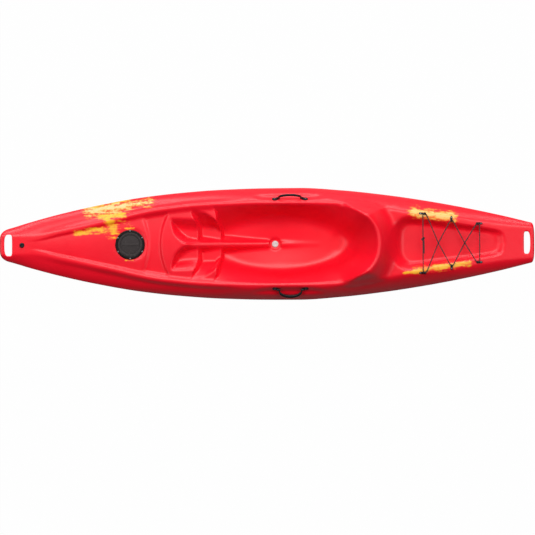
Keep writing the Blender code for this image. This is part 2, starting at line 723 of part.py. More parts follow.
def turned(name, profile, steps, material, collection, matrix=None, ring=False):
    """Solid of revolution about local Z from (radius, height) points, top to bottom outside."""
    mesh = bpy.data.meshes.new(name)
    count = len(profile)
    edges = [(i, i + 1) for i in range(count - 1)]
    if ring:
        edges.append((count - 1, 0))
    mesh.from_pydata([(r, 0.0, z) for r, z in profile], edges, [])
    made = add_object(name, mesh, material, collection, matrix)
    spin = made.modifiers.new("turn", "SCREW")
    spin.axis = "Z"
    spin.steps = steps
    spin.render_steps = steps
    spin.use_merge_vertices = True
    spin.merge_threshold = 0.00001
    spin.use_smooth_shade = True
    apply_modifiers_later(made)
    return made


def apply_modifiers_later(made):
    bpy.context.view_layer.update()
    apply_modifiers(made)
    made.data.set_sharp_from_angle(angle=math.radians(35))


def cylinder(name, radius, low, high, steps, collection, matrix=None, material=None):
    return turned(name, ((0.0, high), (radius, high), (radius, low), (0.0, low)), steps, material,
                  collection, matrix)


def flat_plate(name, outline, low, high, collection, matrix=None, material=None, holes=()):
    """Flat piece from closed outlines in local XY, between two local heights."""
    curve = bpy.data.curves.new(name, "CURVE")
    curve.dimensions = "2D"
    curve.fill_mode = "BOTH"
    curve.extrude = (high - low) / 2
    for closed in (outline, *holes):
        line = curve.splines.new("POLY")
        line.points.add(len(closed) - 1)
        for point, (x, y) in zip(line.points, closed):
            point.co = (x, y, 0.0, 1.0)
        line.use_cyclic_u = True
    temporary = bpy.data.objects.new(name + "_outline", curve)
    collection.objects.link(temporary)
    bpy.context.view_layer.update()
    graph = bpy.context.evaluated_depsgraph_get()
    mesh = bpy.data.meshes.new_from_object(temporary.evaluated_get(graph))
    weld(mesh)
    mesh.transform(Matrix.Translation((0.0, 0.0, (low + high) / 2)))
    bpy.data.objects.remove(temporary, do_unlink=True)
    return add_object(name, mesh, material, collection, matrix)


def weld(mesh):
    bm = bmesh.new()
    bm.from_mesh(mesh)
    bmesh.ops.remove_doubles(bm, verts=bm.verts, dist=0.00002)
    bmesh.ops.recalc_face_normals(bm, faces=bm.faces)
    bm.to_mesh(mesh)
    bm.free()


def circle(x, y, radius, count):
    return arc(x, y, radius, 0, 360, count)[:-1]


def arc(x, y, radius, start, stop, count):
    """Points on an arc in plan, angles in degrees."""
    turns = [math.radians(start + (stop - start) * k / count) for k in range(count + 1)]
    return [(x + radius * math.cos(t), y + radius * math.sin(t)) for t in turns]


def tube(name, points, radius, sides, material, collection, closed=False):
    """Round tube through points, as a welded mesh."""
    curve = bpy.data.curves.new(name, "CURVE")
    curve.dimensions = "3D"
    curve.bevel_depth = radius
    curve.bevel_resolution = sides
    curve.use_fill_caps = not closed
    line = curve.splines.new("POLY")
    line.points.add(len(points) - 1)
    for point, place in zip(line.points, points):
        point.co = (*place, 1.0)
    line.use_cyclic_u = closed
    temporary = bpy.data.objects.new(name + "_path", curve)
    collection.objects.link(temporary)
    bpy.context.view_layer.update()
    graph = bpy.context.evaluated_depsgraph_get()
    mesh = bpy.data.meshes.new_from_object(temporary.evaluated_get(graph))
    weld(mesh)
    bpy.data.objects.remove(temporary, do_unlink=True)
    made = add_object(name, mesh, material, collection)
    made.data.shade_smooth()
    made.data.set_sharp_from_angle(angle=math.radians(50))
    return made


def loft(name, rings, material, collection, matrix=None):
    """Closed skin over rings of equal point counts, with flat ends."""
    count = len(rings[0])
    points = [point for ring in rings for point in ring]
    faces = [tuple(range(count))[::-1]]
    for i in range(len(rings) - 1):
        for k in range(count):
            a, b = i * count + k, i * count + (k + 1) % count
            faces.append((a, b, b + count, a + count))
    faces.append(tuple((len(rings) - 1) * count + k for k in range(count)))
    mesh = bpy.data.meshes.new(name)
    mesh.from_pydata(points, [], faces)
    weld(mesh)
    mesh.shade_smooth()
    mesh.set_sharp_from_angle(angle=math.radians(40))
    return add_object(name, mesh, material, collection, matrix)


# Hull shell

def even_steps(low, high, step):
    count = max(2, round((high - low) / step))
    return [low + (high - low) * k / count for k in range(count)]


def stations(low, high, closing, step):
    """Places along the boat for the cross-sections, closer together at the two ends."""
    shares = (0.0, 0.02, 0.1, 0.25, 0.5, 0.75)
    near = [low + closing * share for share in shares]
    far = [high - closing * share for share in reversed(shares)]
    return np.array(near + even_steps(low + closing, high - closing, step) + [high - closing] + far)


def spread(places, counts):
    """Rows between neighbouring lines, each gap divided into its own count of steps."""
    rows = []
    for i, count in enumerate(counts):
        for k in range(count):
            rows.append(places[i] + (places[i + 1] - places[i]) * k / count)
    rows.append(places[-1])
    return np.array(rows)


def deck_rows(x):
    beam = half_beam(x)
    rim = np.minimum(fair(RIM_PLACE, x), 0.72 * beam)
    inner = np.maximum(rim - RIM_TOP / 2, 0.6 * rim)
    outer = np.minimum(rim + RIM_TOP / 2, 0.8 * beam)
    last = outer + (beam - outer) * 0.97
    return spread((0.0 * x, inner, outer, last, beam), (34, 4, 12, 1))


def bottom_rows(x):
    beam = half_beam(x)
    keel = np.minimum(KEEL_HALF_WIDTH + 0 * x, 0.2 * beam)
    foot = keel + np.minimum(KEEL_SIDE + 0 * x, 0.04 * beam)
    low = np.minimum(fair(LOW_CHINE_PLACE, x), 0.45 * beam)
    low = np.maximum(low, foot + 0.01 * beam)
    high = np.minimum(fair(HIGH_CHINE_PLACE, x), 0.75 * beam)
    last = high + (beam - high) * 0.985
    return spread((0.0 * x, keel, foot, low, high, last, beam), (5, 3, 4, 5, 6, 1))


def inner_rows(x):
    beam = half_beam(x) - 1.3 * WALL
    rim = np.minimum(fair(RIM_PLACE, x), 0.72 * beam)
    inner = np.maximum(rim - RIM_TOP / 2, 0.6 * rim)
    last = beam - WALL / 3
    return spread((0.0 * x, inner, rim, last, beam), (16, 1, 6, 1))


def sheet(places, rows, height):
    """Points over the starboard half of a surface.  The lines follow the front of the tub."""
    near = smooth(1 - np.abs(places - TUB_FRONT_X) / 0.3)
    y = rows(places)
    x = places - near * TUB_FRONT_SWEEP * np.clip(y / TUB_FRONT_HALF_WIDTH - 0.5, 0.0, 1.0)
    y = np.minimum(y, half_beam(x) * y / np.maximum(half_beam(places), 1e-6))
    return np.stack((x, y, height(x, y)), axis=-1)


def half_skin(name, upper, lower, facets, collection):
    """Closed skin over a top and a bottom sheet, thinned to about the given facets."""
    bm = bmesh.new()
    chains = []
    for points, up in ((upper, True), (lower, False)):
        verts = [[bm.verts.new(point) for point in row] for row in points]
        chains.append(verts)
        for row, after in zip(verts, verts[1:]):
            for i in range(len(row) - 1):
                corners = (row[i], row[i + 1], after[i + 1], after[i])
                bm.faces.new(corners if up else corners[::-1])
    for end, front in ((0, True), (-1, False)):
        close_end(bm, [row[end] for row in chains[0]], [row[end] for row in chains[1]], front)
    bmesh.ops.remove_doubles(bm, verts=bm.verts, dist=0.000005)
    bmesh.ops.dissolve_degenerate(bm, edges=bm.edges, dist=0.000001)
    bmesh.ops.triangulate(bm, faces=bm.faces)
    mesh = bpy.data.meshes.new(name)
    bm.to_mesh(mesh)
    bm.free()
    half = add_object(name, mesh, None, collection)
    thin = half.modifiers.new("fewer_facets", "DECIMATE")
    thin.ratio = facets / 2 / len(mesh.polygons)
    bpy.context.view_layer.update()
    apply_modifiers(half)
    flatten_middle(half.data)
    mirror = half.modifiers.new("port_side", "MIRROR")
    mirror.use_axis = (False, True, False)
    mirror.use_mirror_merge = True
    mirror.merge_threshold = 0.00005
    bpy.context.view_layer.update()
    return apply_modifiers(half)


def close_end(bm, top, low, front):
    """Flat end between two chains that start on the centre line and meet at their far ends."""
    hub = bm.verts.new((top[0].co + low[0].co) / 2)
    for chain, flip in ((top, front), (low, not front)):
        for a, b in zip(chain, chain[1:]):
            bm.faces.new((a, b, hub) if flip else (b, a, hub))


def flatten_middle(mesh):
    """Put the open edge of a half skin exactly on the centre plane, and the keel on its flat."""
    bm = bmesh.new()
    bm.from_mesh(mesh)
    for vert in bm.verts:
        if vert.is_boundary:
            vert.co.y = 0.0
        if vert.co.z < KEEL_FLAT:
            vert.co.z = 0.0
    flat = [face for face in bm.faces if all(vert.co.y == 0.0 for vert in face.verts)]
    bmesh.ops.delete(bm, geom=flat, context="FACES")
    bm.to_mesh(mesh)
    bm.free()


def outer_skin(collection):
    places = stations(-LENGTH / 2, LENGTH / 2, TIP_ROUND, STATION_STEP)
    upper = sheet(places, deck_rows, deck_surface)
    lower = sheet(places, bottom_rows, bottom_surface)
    lower[-1] = upper[-1]
    upper[-1, :, 2] = lower[-1, :, 2] = fair(PARTING_HEIGHT, upper[-1, :, 0])
    return half_skin("hull_shell", upper, lower, OUTSIDE_FACETS, collection)


def cavity(collection):
    places = stations(CAVITY_BOW_X, CAVITY_STERN_X, TIP_ROUND / 3, INNER_STATION_STEP)
    upper = sheet(places, inner_rows, deck_inside)
    lower = sheet(places, inner_rows, bottom_inside)
    middle = (upper[:, :, 2] + lower[:, :, 2]) / 2
    upper[:, :, 2] = np.maximum(upper[:, :, 2], middle + WALL / 6)
    lower[:, :, 2] = np.minimum(lower[:, :, 2], middle - WALL / 6)
    upper[-1, :, 2] = lower[-1, :, 2] = middle[-1]
    return hide_tool(half_skin("cavity", upper, lower, INSIDE_FACETS, collection))


def grip_slot(cutters, name, slot, centre_z, straight_end):
    """Through slot with rounded corners, one end straighter than the other."""
    low, high, width = slot
    middle = (low + high) / 2
    half = width / 2
    outline = []
    for side, turn in ((1, 0), (-1, 180)):
        for k in range(9):
            angle = math.radians(turn + 22.5 * k)
            across = math.copysign(abs(math.cos(angle)) ** 0.45, math.cos(angle))
            along = math.copysign(abs(math.sin(angle)) ** 0.8, math.sin(angle))
            outline.append((middle + straight_end * along * (high - low) / 2, half * across))
        outline.pop()
    if straight_end < 0:
        outline.reverse()
    tool = flat_plate(name, outline, -0.12, 0.12, cutters, Matrix.Translation((0.0, 0.0, centre_z)))
    return hide_tool(tool)


def drill(cutters, name, frame, radius, low, high, steps):
    return hide_tool(cylinder(name, radius, low, high, steps, cutters, frame))


# Frames the fittings are placed in

def deck_height(x, y):
    return float(deck_surface(np.array([x]), np.array([y]))[0])


def deck_frame(x, y, reach, sink):
    """Frame on the deck: Z is the outward normal, X runs aft, and sink lowers it."""
    slope_x = (deck_height(x + reach, y) - deck_height(x - reach, y)) / (2 * reach)
    slope_y = (deck_height(x, y + reach) - deck_height(x, y - reach)) / (2 * reach)
    normal = Vector((-slope_x, -slope_y, 1.0)).normalized()
    origin = Vector((x, y, deck_height(x, y))) - normal * sink
    return frame_from(origin, normal)


def frame_from(origin, normal):
    along = Vector((1.0, 0.0, 0.0))
    along = (along - normal * along.dot(normal)).normalized()
    across = normal.cross(along)
    frame = Matrix((along, across, normal)).transposed().to_4x4()
    frame.translation = origin
    return frame


def handle_frame(side, x):
    """Frame on the wall of the side scallop, side +1 for starboard and -1 for port."""
    lean = math.atan(SCALLOP_SLOPE)
    normal = Vector((0.0, side * math.sin(lean), math.cos(lean)))
    rim = float(fair(RIM_HEIGHT, HANDLE_X - HANDLE_SPACING / 2))
    z = rim - SCALLOP_SLOPE * (HANDLE_PLACE - SCALLOP_TOP_PLACE)
    origin = Vector((x, side * HANDLE_PLACE, z)) - normal * LAND_SINK
    return frame_from(origin, normal)


def keel_frame():
    low = float(fair(KEEL_HEIGHT, SKID_X - SKID_LENGTH / 2))
    high = float(fair(KEEL_HEIGHT, SKID_X + SKID_LENGTH / 2))
    normal = Vector(((high - low) / SKID_LENGTH, 0.0, -1.0)).normalized()
    origin = Vector((SKID_X, 0.0, (low + high) / 2)) - normal * SKID_SINK
    return frame_from(origin, normal)


def at(frame, x, y, z=0.0):
    return frame @ Matrix.Translation((x, y, z))


# Screws

def screw_mesh(collection):
    head, top = SCREW_HEAD_RADIUS, SCREW_HEAD_HEIGHT
    shank = SCREW_SHANK_RADIUS
    profile = ((0.0, top), (0.7 * head, top), (head, 0.0), (shank, 0.0), (shank, -SCREW_LENGTH),
               (0.0, -SCREW_LENGTH))
    pattern = turned("screw", profile, SCREW_STEPS, None, collection)
    mesh = pattern.data
    bpy.data.objects.remove(pattern, do_unlink=True)
    return mesh


def add_screw(name, mesh, frame, seat, stuff, parts, cutters):
    """Screw whose head rests on a seat, with its clearance hole through the hull wall."""
    made = bpy.data.objects.new(name, mesh)
    parts.objects.link(made)
    if not mesh.materials:
        mesh.materials.append(stuff["steel"])
    made.matrix_world = at(frame, 0.0, 0.0, seat + GAP)
    drill(cutters, name + "_hole", frame, SCREW_HOLE_RADIUS, -0.02, 0.02, SCREW_STEPS)
    return made


# Hatch

def build_hatch(parts, cutters, stuff, screw):
    frame = Matrix.Translation((HATCH_X, 0.0, HATCH_LAND_Z))
    spun = frame @ Matrix.Rotation(math.radians(HATCH_FACET_TURN), 4, "Z")
    drill(cutters, "hatch_hole", spun, HATCH_HOLE_RADIUS, -0.03, 0.03, ROUND_STEPS)
    drill(cutters, "hatch_land", spun, HATCH_SEAT_RADIUS, 0.0, 0.03, ROUND_STEPS)
    gasket_top = GAP + GASKET_THICK
    flange = gasket_top + GAP
    top = flange + RING_THICK
    ledge = top - RING_LEDGE_DEPTH
    edge = 0.0015
    ring = turned("hatch_ring", (
        (RING_BORE, top), (RING_RADIUS - edge, top), (RING_RADIUS, top - edge), (RING_RADIUS, flange),
        (SPIGOT_RADIUS, flange), (SPIGOT_RADIUS, -SPIGOT_DEPTH), (RING_LEDGE_BORE, -SPIGOT_DEPTH),
        (RING_LEDGE_BORE, ledge), (RING_BORE, ledge)), ROUND_STEPS, stuff["black"], parts, spun, ring=True)
    ring_holes = []
    gasket_holes = [circle(0.0, 0.0, GASKET_BORE, ROUND_STEPS)]
    for k in range(HATCH_SCREWS):
        angle = math.pi / 2 + 2 * math.pi * k / HATCH_SCREWS
        x = HATCH_SCREW_CIRCLE * math.cos(angle)
        y = HATCH_SCREW_CIRCLE * math.sin(angle)
        place = at(frame, x, y)
        add_screw(f"hatch_screw_{k + 1}", screw, place, top, stuff, parts, cutters)
        ring_holes.append(cylinder("hole", SCREW_HOLE_RADIUS, -0.01, 0.02, SCREW_STEPS, parts, place))
        gasket_holes.append(circle(x, y, SCREW_HOLE_RADIUS, SCREW_STEPS))
    cut_shapes(ring, *ring_holes)
    flat_plate("hatch_gasket", circle(0.0, 0.0, GASKET_RADIUS, ROUND_STEPS), GAP, gasket_top, parts, frame,
               stuff["rubber"], gasket_holes)
    seal_low = ledge + GAP
    seal_top = seal_low + LID_SEAL_THICK
    turned("hatch_lid_seal", ((LID_SEAL_BORE, seal_top), (LID_SEAL_RADIUS, seal_top),
                              (LID_SEAL_RADIUS, seal_low), (LID_SEAL_BORE, seal_low)),
           ROUND_STEPS, stuff["rubber"], parts, spun, ring=True)
    under = seal_top + GAP
    lid_top = under + LID_THICK
    dish = lid_top - LID_DISH_DEPTH
    inside = LID_NECK_RADIUS - LID_WALL
    lid = turned("hatch_lid", (
        (0.0, dish), (LID_DISH_RADIUS - 0.002, dish), (LID_DISH_RADIUS, lid_top),
        (LID_RADIUS - edge, lid_top), (LID_RADIUS, lid_top - edge), (LID_RADIUS, under),
        (LID_NECK_RADIUS, under), (LID_NECK_RADIUS, -LID_SKIRT), (inside, -LID_SKIRT),
        (inside, dish - LID_WALL), (0.0, dish - LID_WALL)), ROUND_STEPS, stuff["dark_grey"], parts, spun)
    length, width, rise = LID_BAR
    bar = flat_plate("bar", rounded(length / 2, width / 2, width / 2, 3), dish - 0.001, dish + rise, parts,
                     frame)
    join_shapes(lid, bar)


def rounded(half_x, half_y, radius, steps):
    """Rectangle outline with rounded corners, about the origin."""
    radius = min(radius, half_x, half_y) * 0.999
    outline = []
    for sx, sy, start in ((1, 1, 0), (-1, 1, 90), (-1, -1, 180), (1, -1, 270)):
        outline += arc(sx * (half_x - radius), sy * (half_y - radius), radius, start, start + 90, steps)
    return outline


# Drain plugs

def build_plug(name, frame, cap_radius, cap_height, seat_radius, cap_stuff, stuff, parts, cutters):
    """Threaded insert through the hull, with a seal and a screwed-in plug on top of it."""
    drill(cutters, name + "_hole", frame, INSERT_RADIUS + GAP, -0.012, 0.01, SMALL_STEPS)
    drill(cutters, name + "_land", frame, seat_radius, 0.0, 0.012, SMALL_STEPS)
    flange_top = GAP + INSERT_FLANGE
    low = flange_top - INSERT_LENGTH
    turned(name + "_insert", ((INSERT_BORE, flange_top), (INSERT_FLANGE_RADIUS, flange_top),
                              (INSERT_FLANGE_RADIUS, GAP), (INSERT_RADIUS, GAP), (INSERT_RADIUS, low),
                              (INSERT_BORE, low)), SMALL_STEPS, stuff["brass"], parts, frame, ring=True)
    seal_low = flange_top + GAP
    seal_top = seal_low + PLUG_SEAL_THICK
    turned(name + "_seal", ((PLUG_SEAL_BORE, seal_top), (PLUG_SEAL_RADIUS, seal_top),
                            (PLUG_SEAL_RADIUS, seal_low), (PLUG_SEAL_BORE, seal_low)),
           SMALL_STEPS, stuff["rubber"], parts, frame, ring=True)
    under = seal_top + GAP
    top = under + cap_height
    turned(name, ((0.0, top), (0.55 * cap_radius, top - 0.08 * cap_height),
                  (0.88 * cap_radius, top - 0.4 * cap_height), (cap_radius, under + 0.2 * cap_height),
                  (cap_radius, under), (PLUG_SHANK_RADIUS, under), (PLUG_SHANK_RADIUS, under - PLUG_LENGTH),
                  (0.0, under - PLUG_LENGTH)), SMALL_STEPS, cap_stuff, parts, frame)


# Carry handles

def build_pad(name, frame, toward, down, stuff, parts):
    """End pad with a lug and a pin that points to the other pad.

    toward is the local X direction of the other pad, and down the local Y direction down the wall.
    """
    screw_hole = circle(toward * PAD_SCREW_X, 0.0, SCREW_HOLE_RADIUS, SCREW_STEPS)
    plate = flat_plate(name, pad_outline(toward, PAD_RADIUS, PAD_NECK_HALF_WIDTH, PAD_NECK_END), GAP,
                       GAP + PAD_THICK, parts, frame, stuff["black"], [screw_hole])
    drop = down * PIVOT_DROP
    lug_x = sorted((toward * LUG_START, toward * PAD_NECK_END))
    lug_outline = ((lug_x[1], drop + LUG_HALF_WIDTH), (lug_x[0], drop + LUG_HALF_WIDTH),
                   (lug_x[0], drop - LUG_HALF_WIDTH), (lug_x[1], drop - LUG_HALF_WIDTH))
    lug = flat_plate("lug", lug_outline, GAP + PAD_THICK / 2, LUG_HEIGHT, parts, frame)
    pin_frame = at(frame, 0.0, drop, PIVOT_HEIGHT) @ Matrix.Rotation(math.pi / 2, 4, "Y")
    pin = cylinder("pin", PIVOT_PIN_RADIUS, *sorted((toward * (PAD_NECK_END - 0.005),
                                                     toward * PIVOT_PIN_END)), SMALL_STEPS, parts, pin_frame)
    return join_shapes(plate, lug, pin)


def pad_outline(toward, radius, half, end):
    """Disc with a neck of the given half width, out to end on the side of the other pad."""
    start = math.degrees(math.asin(half / radius))
    points = arc(0.0, 0.0, radius, start, 360 - start, 16) + [(end, -half), (end, half)]
    if toward < 0:
        points = [(-x, y) for x, y in reversed(points)]
    return points


def build_grip(name, frame, stuff, parts):
    """Bowed grip with an eye at each end, in the frame of its swing axis."""
    half = HANDLE_SPACING / 2 - EYE_START - EYE_WIDTH / 2
    rings = []
    count = 12
    for k in range(count + 1):
        t = math.pi * k / count
        t = t + 0.15 * math.sin(2 * t)
        place, tangent = bow_point(half, t)
        swell = math.sin(t) ** (1 / GRIP_SWELL) if 0 < k < count else 0.0
        full = smooth(1 - (1 - swell) * GRIP_SHOULDER)
        wide = GRIP_NECK_HALF_WIDTH + (GRIP_HALF_WIDTH - GRIP_NECK_HALF_WIDTH) * full
        deep = GRIP_NECK_HALF_DEPTH + (GRIP_HALF_DEPTH - GRIP_NECK_HALF_DEPTH) * full
        ring = []
        for i in range(8):
            turn = 2 * math.pi * i / 8
            side = wide * math.cos(turn)
            ring.append((place[0] - tangent[1] * side, place[1] + tangent[0] * side, deep * math.sin(turn)))
        rings.append(ring)
    grip = loft(name, rings, stuff["black"], parts, frame)
    eyes = []
    holes = []
    for end in (-1, 1):
        pivot = at(frame, end * half, 0.0) @ Matrix.Rotation(math.pi / 2, 4, "Y")
        spun = pivot @ Matrix.Rotation(math.radians(GRIP_FACET_TURN), 4, "Z")
        eyes.append(cylinder("eye", EYE_RADIUS, -EYE_WIDTH / 2, EYE_WIDTH / 2, SMALL_STEPS, parts, spun))
        spun = pivot @ Matrix.Rotation(math.radians(-GRIP_FACET_TURN), 4, "Z")
        holes.append(cylinder("bore", EYE_BORE_RADIUS, -EYE_WIDTH, EYE_WIDTH, SMALL_STEPS, parts, spun))
    join_shapes(grip, *eyes)
    return cut_shapes(grip, *holes)


def bow_point(half, t):
    """Place and unit tangent on the bowed centre line of the grip."""
    def place(t):
        return np.array((half * math.cos(t), GRIP_ROOT + GRIP_REACH * max(math.sin(t), 0.0) ** 0.8))
    step = 0.02
    low, high = max(t - step, 0.0), min(t + step, math.pi)
    tangent = place(high) - place(low)
    return place(t), tangent / np.linalg.norm(tangent)


def build_handle(side, angle, parts, cutters, stuff, screw):
    name = "starboard" if side > 0 else "port"
    down = side
    for end, word in ((-1, "front"), (1, "rear")):
        frame = handle_frame(side, HANDLE_X + end * HANDLE_SPACING / 2)
        build_pad(f"{name}_handle_{word}_pad", frame, -end, down, stuff, parts)
        outline = pad_outline(-end, PAD_RADIUS + PAD_SEAT_MARGIN, PAD_SEAT_HALF_WIDTH, PAD_SEAT_END)
        hide_tool(flat_plate(f"{name}_{word}_seat", outline, 0.0, 0.012, cutters, frame))
        place = at(frame, -end * PAD_SCREW_X, 0.0)
        add_screw(f"{name}_handle_{word}_screw", screw, place, GAP + PAD_THICK, stuff, parts, cutters)
        drill(cutters, f"{name}_{word}_insert_hole", place, HANDLE_INSERT_RADIUS + GAP, -0.02, 0.004,
              SCREW_STEPS)
        foot = -GAP - HANDLE_INSERT_LENGTH
        turned(f"{name}_handle_{word}_insert", (
            (SCREW_HOLE_RADIUS, -GAP), (HANDLE_INSERT_RADIUS, -GAP), (HANDLE_INSERT_RADIUS, foot),
            (SCREW_HOLE_RADIUS, foot)), SCREW_STEPS, stuff["brass"], parts, place, ring=True)
    wall = handle_frame(side, HANDLE_X)
    origin = wall @ Vector((0.0, down * PIVOT_DROP, PIVOT_HEIGHT))
    turn = math.radians(angle)
    reach = Vector((0.0, side * math.cos(turn), math.sin(turn)))
    along = Vector((1.0, 0.0, 0.0))
    frame = Matrix((along, reach, along.cross(reach))).transposed().to_4x4()
    frame.translation = origin
    build_grip(f"{name}_handle_grip", frame, stuff, parts)


# Lashing eyes

def stadium(reach, radius, direction):
    """Outline of a bar with round ends along a direction, about the origin."""
    turn = math.degrees(math.atan2(direction[1], direction[0]))
    x, y = reach * direction[0], reach * direction[1]
    return arc(x, y, radius, turn - 90, turn + 90, 6) + arc(-x, -y, radius, turn + 90, turn + 270, 6)


def build_eyes(parts, cutters, stuff, screw):
    """Six lashing eyes; returns the place and frame of each arch for the cord to pass."""
    arches = {}
    for word, x, y, direction, spacing in EYES:
        for side, name in ((1, "starboard"), (-1, "port")):
            frame = deck_frame(x, side * y, EYE_SLOPE_REACH, LAND_SINK)
            to_screw = (direction[0], side * direction[1])
            reach = spacing / 2 + EYE_BASE_OVERHANG
            label = f"{name}_{word}_eye"
            screw_at = (to_screw[0] * spacing / 2, to_screw[1] * spacing / 2)
            base = flat_plate(label, stadium(reach, EYE_BASE_RADIUS, to_screw), GAP, GAP + EYE_BASE_THICK,
                              parts, frame, stuff["black"],
                              [circle(*screw_at, SCREW_HOLE_RADIUS, SCREW_STEPS)])
            seat = stadium(reach, EYE_BASE_RADIUS + EYE_SEAT_MARGIN, to_screw)
            hide_tool(flat_plate(label + "_seat", seat, 0.0, 0.012, cutters, frame))
            middle = (-screw_at[0], -screw_at[1])
            arch = arch_shape(at(frame, *middle), parts)
            join_shapes(base, arch)
            add_screw(label + "_screw", screw, at(frame, *screw_at), GAP + EYE_BASE_THICK, stuff, parts,
                      cutters)
            arches[(word, side)] = at(frame, *middle, GAP + CORD_LIFT)
    return arches


def arch_shape(frame, parts):
    foot = GAP + EYE_BASE_THICK / 2
    spring = GAP + EYE_BASE_THICK + EYE_ARCH_LEG
    points = [(0.0, EYE_ARCH_RADIUS, foot)]
    for k in range(7):
        turn = math.pi * k / 6
        points.append((0.0, EYE_ARCH_RADIUS * math.cos(turn), spring + EYE_ARCH_RADIUS * math.sin(turn)))
    points.append((0.0, -EYE_ARCH_RADIUS, foot))
    arch = tube("arch", points, EYE_WIRE_RADIUS, 1, None, parts)
    arch.matrix_world = frame
    return arch


# Bungee

def build_bungee(arches, parts, stuff):
    """Shock cord laced through the six eyes in one loop, its ends joined in a knot."""
    def through(word, side, ahead):
        frame = arches[(word, side)]
        return frame @ Vector((ahead, 0.0, 0.0))

    def crossing(front, back, lift):
        middle = (through(*front, 0.005) + through(*back, -0.005)) / 2
        return Vector((middle.x, 0.0, middle.z + lift))

    fore = (through("front", 1, -0.012) + through("front", -1, -0.012)) / 2
    fore.z += CORNER_LIFT * 4 / 3
    start = Vector((fore.x, KNOT_PLACE - KNOT_LENGTH / 2 - GAP, fore.z))
    finish = Vector((fore.x, KNOT_PLACE + KNOT_LENGTH / 2 + GAP, fore.z))
    path = [finish]
    path += corner_points("front", 1, through, -0.012, 0.006)
    path += [crossing(("front", 1), ("middle", -1), CROSSING_LIFT)]
    path += [through("middle", -1, -0.006), through("middle", -1, 0.006)]
    path += [crossing(("middle", -1), ("rear", 1), -CROSSING_LIFT)]
    path += corner_points("rear", 1, through, -0.006, 0.012)
    path += corner_points("rear", -1, through, 0.012, -0.006)
    path += [crossing(("middle", 1), ("rear", -1), CROSSING_LIFT)]
    path += [through("middle", 1, 0.006), through("middle", 1, -0.006)]
    path += [crossing(("front", -1), ("middle", 1), -CROSSING_LIFT)]
    path += corner_points("front", -1, through, 0.006, -0.012)
    path += [start]
    tube("bungee_cord", soften(path, CORD_TURN), CORD_RADIUS, 1, stuff["cord"], parts)
    knot_frame = frame_from(Vector((fore.x, KNOT_PLACE, fore.z)), Vector((0.0, 1.0, 0.0)))
    half = KNOT_LENGTH / 2
    profile = [(0.0, half), (CORD_RADIUS + 0.001, half)]
    for k in range(3):
        high = half - k * KNOT_LENGTH / 3
        profile += [(KNOT_RADIUS, high - KNOT_LENGTH / 9), (KNOT_RADIUS, high - 2 * KNOT_LENGTH / 9)]
        if k < 2:
            profile.append((KNOT_WAIST, high - KNOT_LENGTH / 3))
    profile += [(CORD_RADIUS + 0.001, -half), (0.0, -half)]
    knot = turned("bungee_knot", profile, SMALL_STEPS, stuff["cord"], parts, knot_frame)
    tail_start = knot_frame @ Vector((0.0, 0.0, half / 2))
    tail_end = tail_start + Vector((-TAIL_LENGTH * 0.8, 0.3 * TAIL_LENGTH, 0.0))
    tail = tube("tail", (tail_start, (tail_start + tail_end) / 2 + Vector((0.0, 0.0, 0.002)), tail_end),
                CORD_RADIUS * 0.9, 1, None, parts)
    join_shapes(knot, tail)


def corner_points(word, side, through, first, last):
    """Path round an end eye, where the cord turns to run straight across the boat."""
    outer = first if abs(first) > abs(last) else last
    corner = through(word, side, outer) + Vector((0.0, 0.0, CORNER_LIFT))
    inboard = corner + Vector((0.0, -side * 0.012, CORNER_LIFT / 3))
    if outer == first:
        return [inboard, corner, through(word, side, last)]
    return [through(word, side, first), corner, inboard]


def soften(path, radius):
    """Round every inner corner of a path with a short curve."""
    points = [path[0]]
    for before, corner, after in zip(path, path[1:], path[2:]):
        into = before - corner
        out = after - corner
        bend = into.angle(out)
        if bend > math.radians(176):
            points.append(corner)
            continue
        a = corner + into.normalized() * min(radius, into.length * 0.45)
        b = corner + out.normalized() * min(radius, out.length * 0.45)
        points += [a, (a + b) / 4 + corner / 2, b]
    points.append(path[-1])
    return points


# Skid plate

def build_skid(parts, cutters, stuff, screw):
    frame = keel_frame()
    outline = rounded(SKID_LENGTH / 2, SKID_HALF_WIDTH, SKID_CORNER, 2)
    reach = SKID_SCREW_SPACING / 2
    screw_holes = [circle(x, 0.0, SCREW_HOLE_RADIUS, SCREW_STEPS) for x in (-reach, reach)]
    plate = flat_plate("skid_plate", outline, GAP, GAP + SKID_THICK, parts, frame, stuff["black"],
                       screw_holes)
    notch = rounded(SKID_LENGTH / 2 + 0.002, KEEL_HALF_WIDTH + 0.006, 0.002, 1)
    hide_tool(flat_plate("skid_notch", notch, 0.0, 0.02, cutters, frame))
    seat = GAP + SKID_THICK - SKID_HEAD_DEPTH
    holes = []
    for end, word in ((-1, "front"), (1, "rear")):
        place = at(frame, end * reach, 0.0)
        holes.append(cylinder("head_hole", SKID_HEAD_RADIUS, seat, 0.02, SCREW_STEPS, parts, place))
        add_screw(f"skid_plate_{word}_screw", screw, place, seat, stuff, parts, cutters)
    cut_shapes(plate, *holes)


# Foam

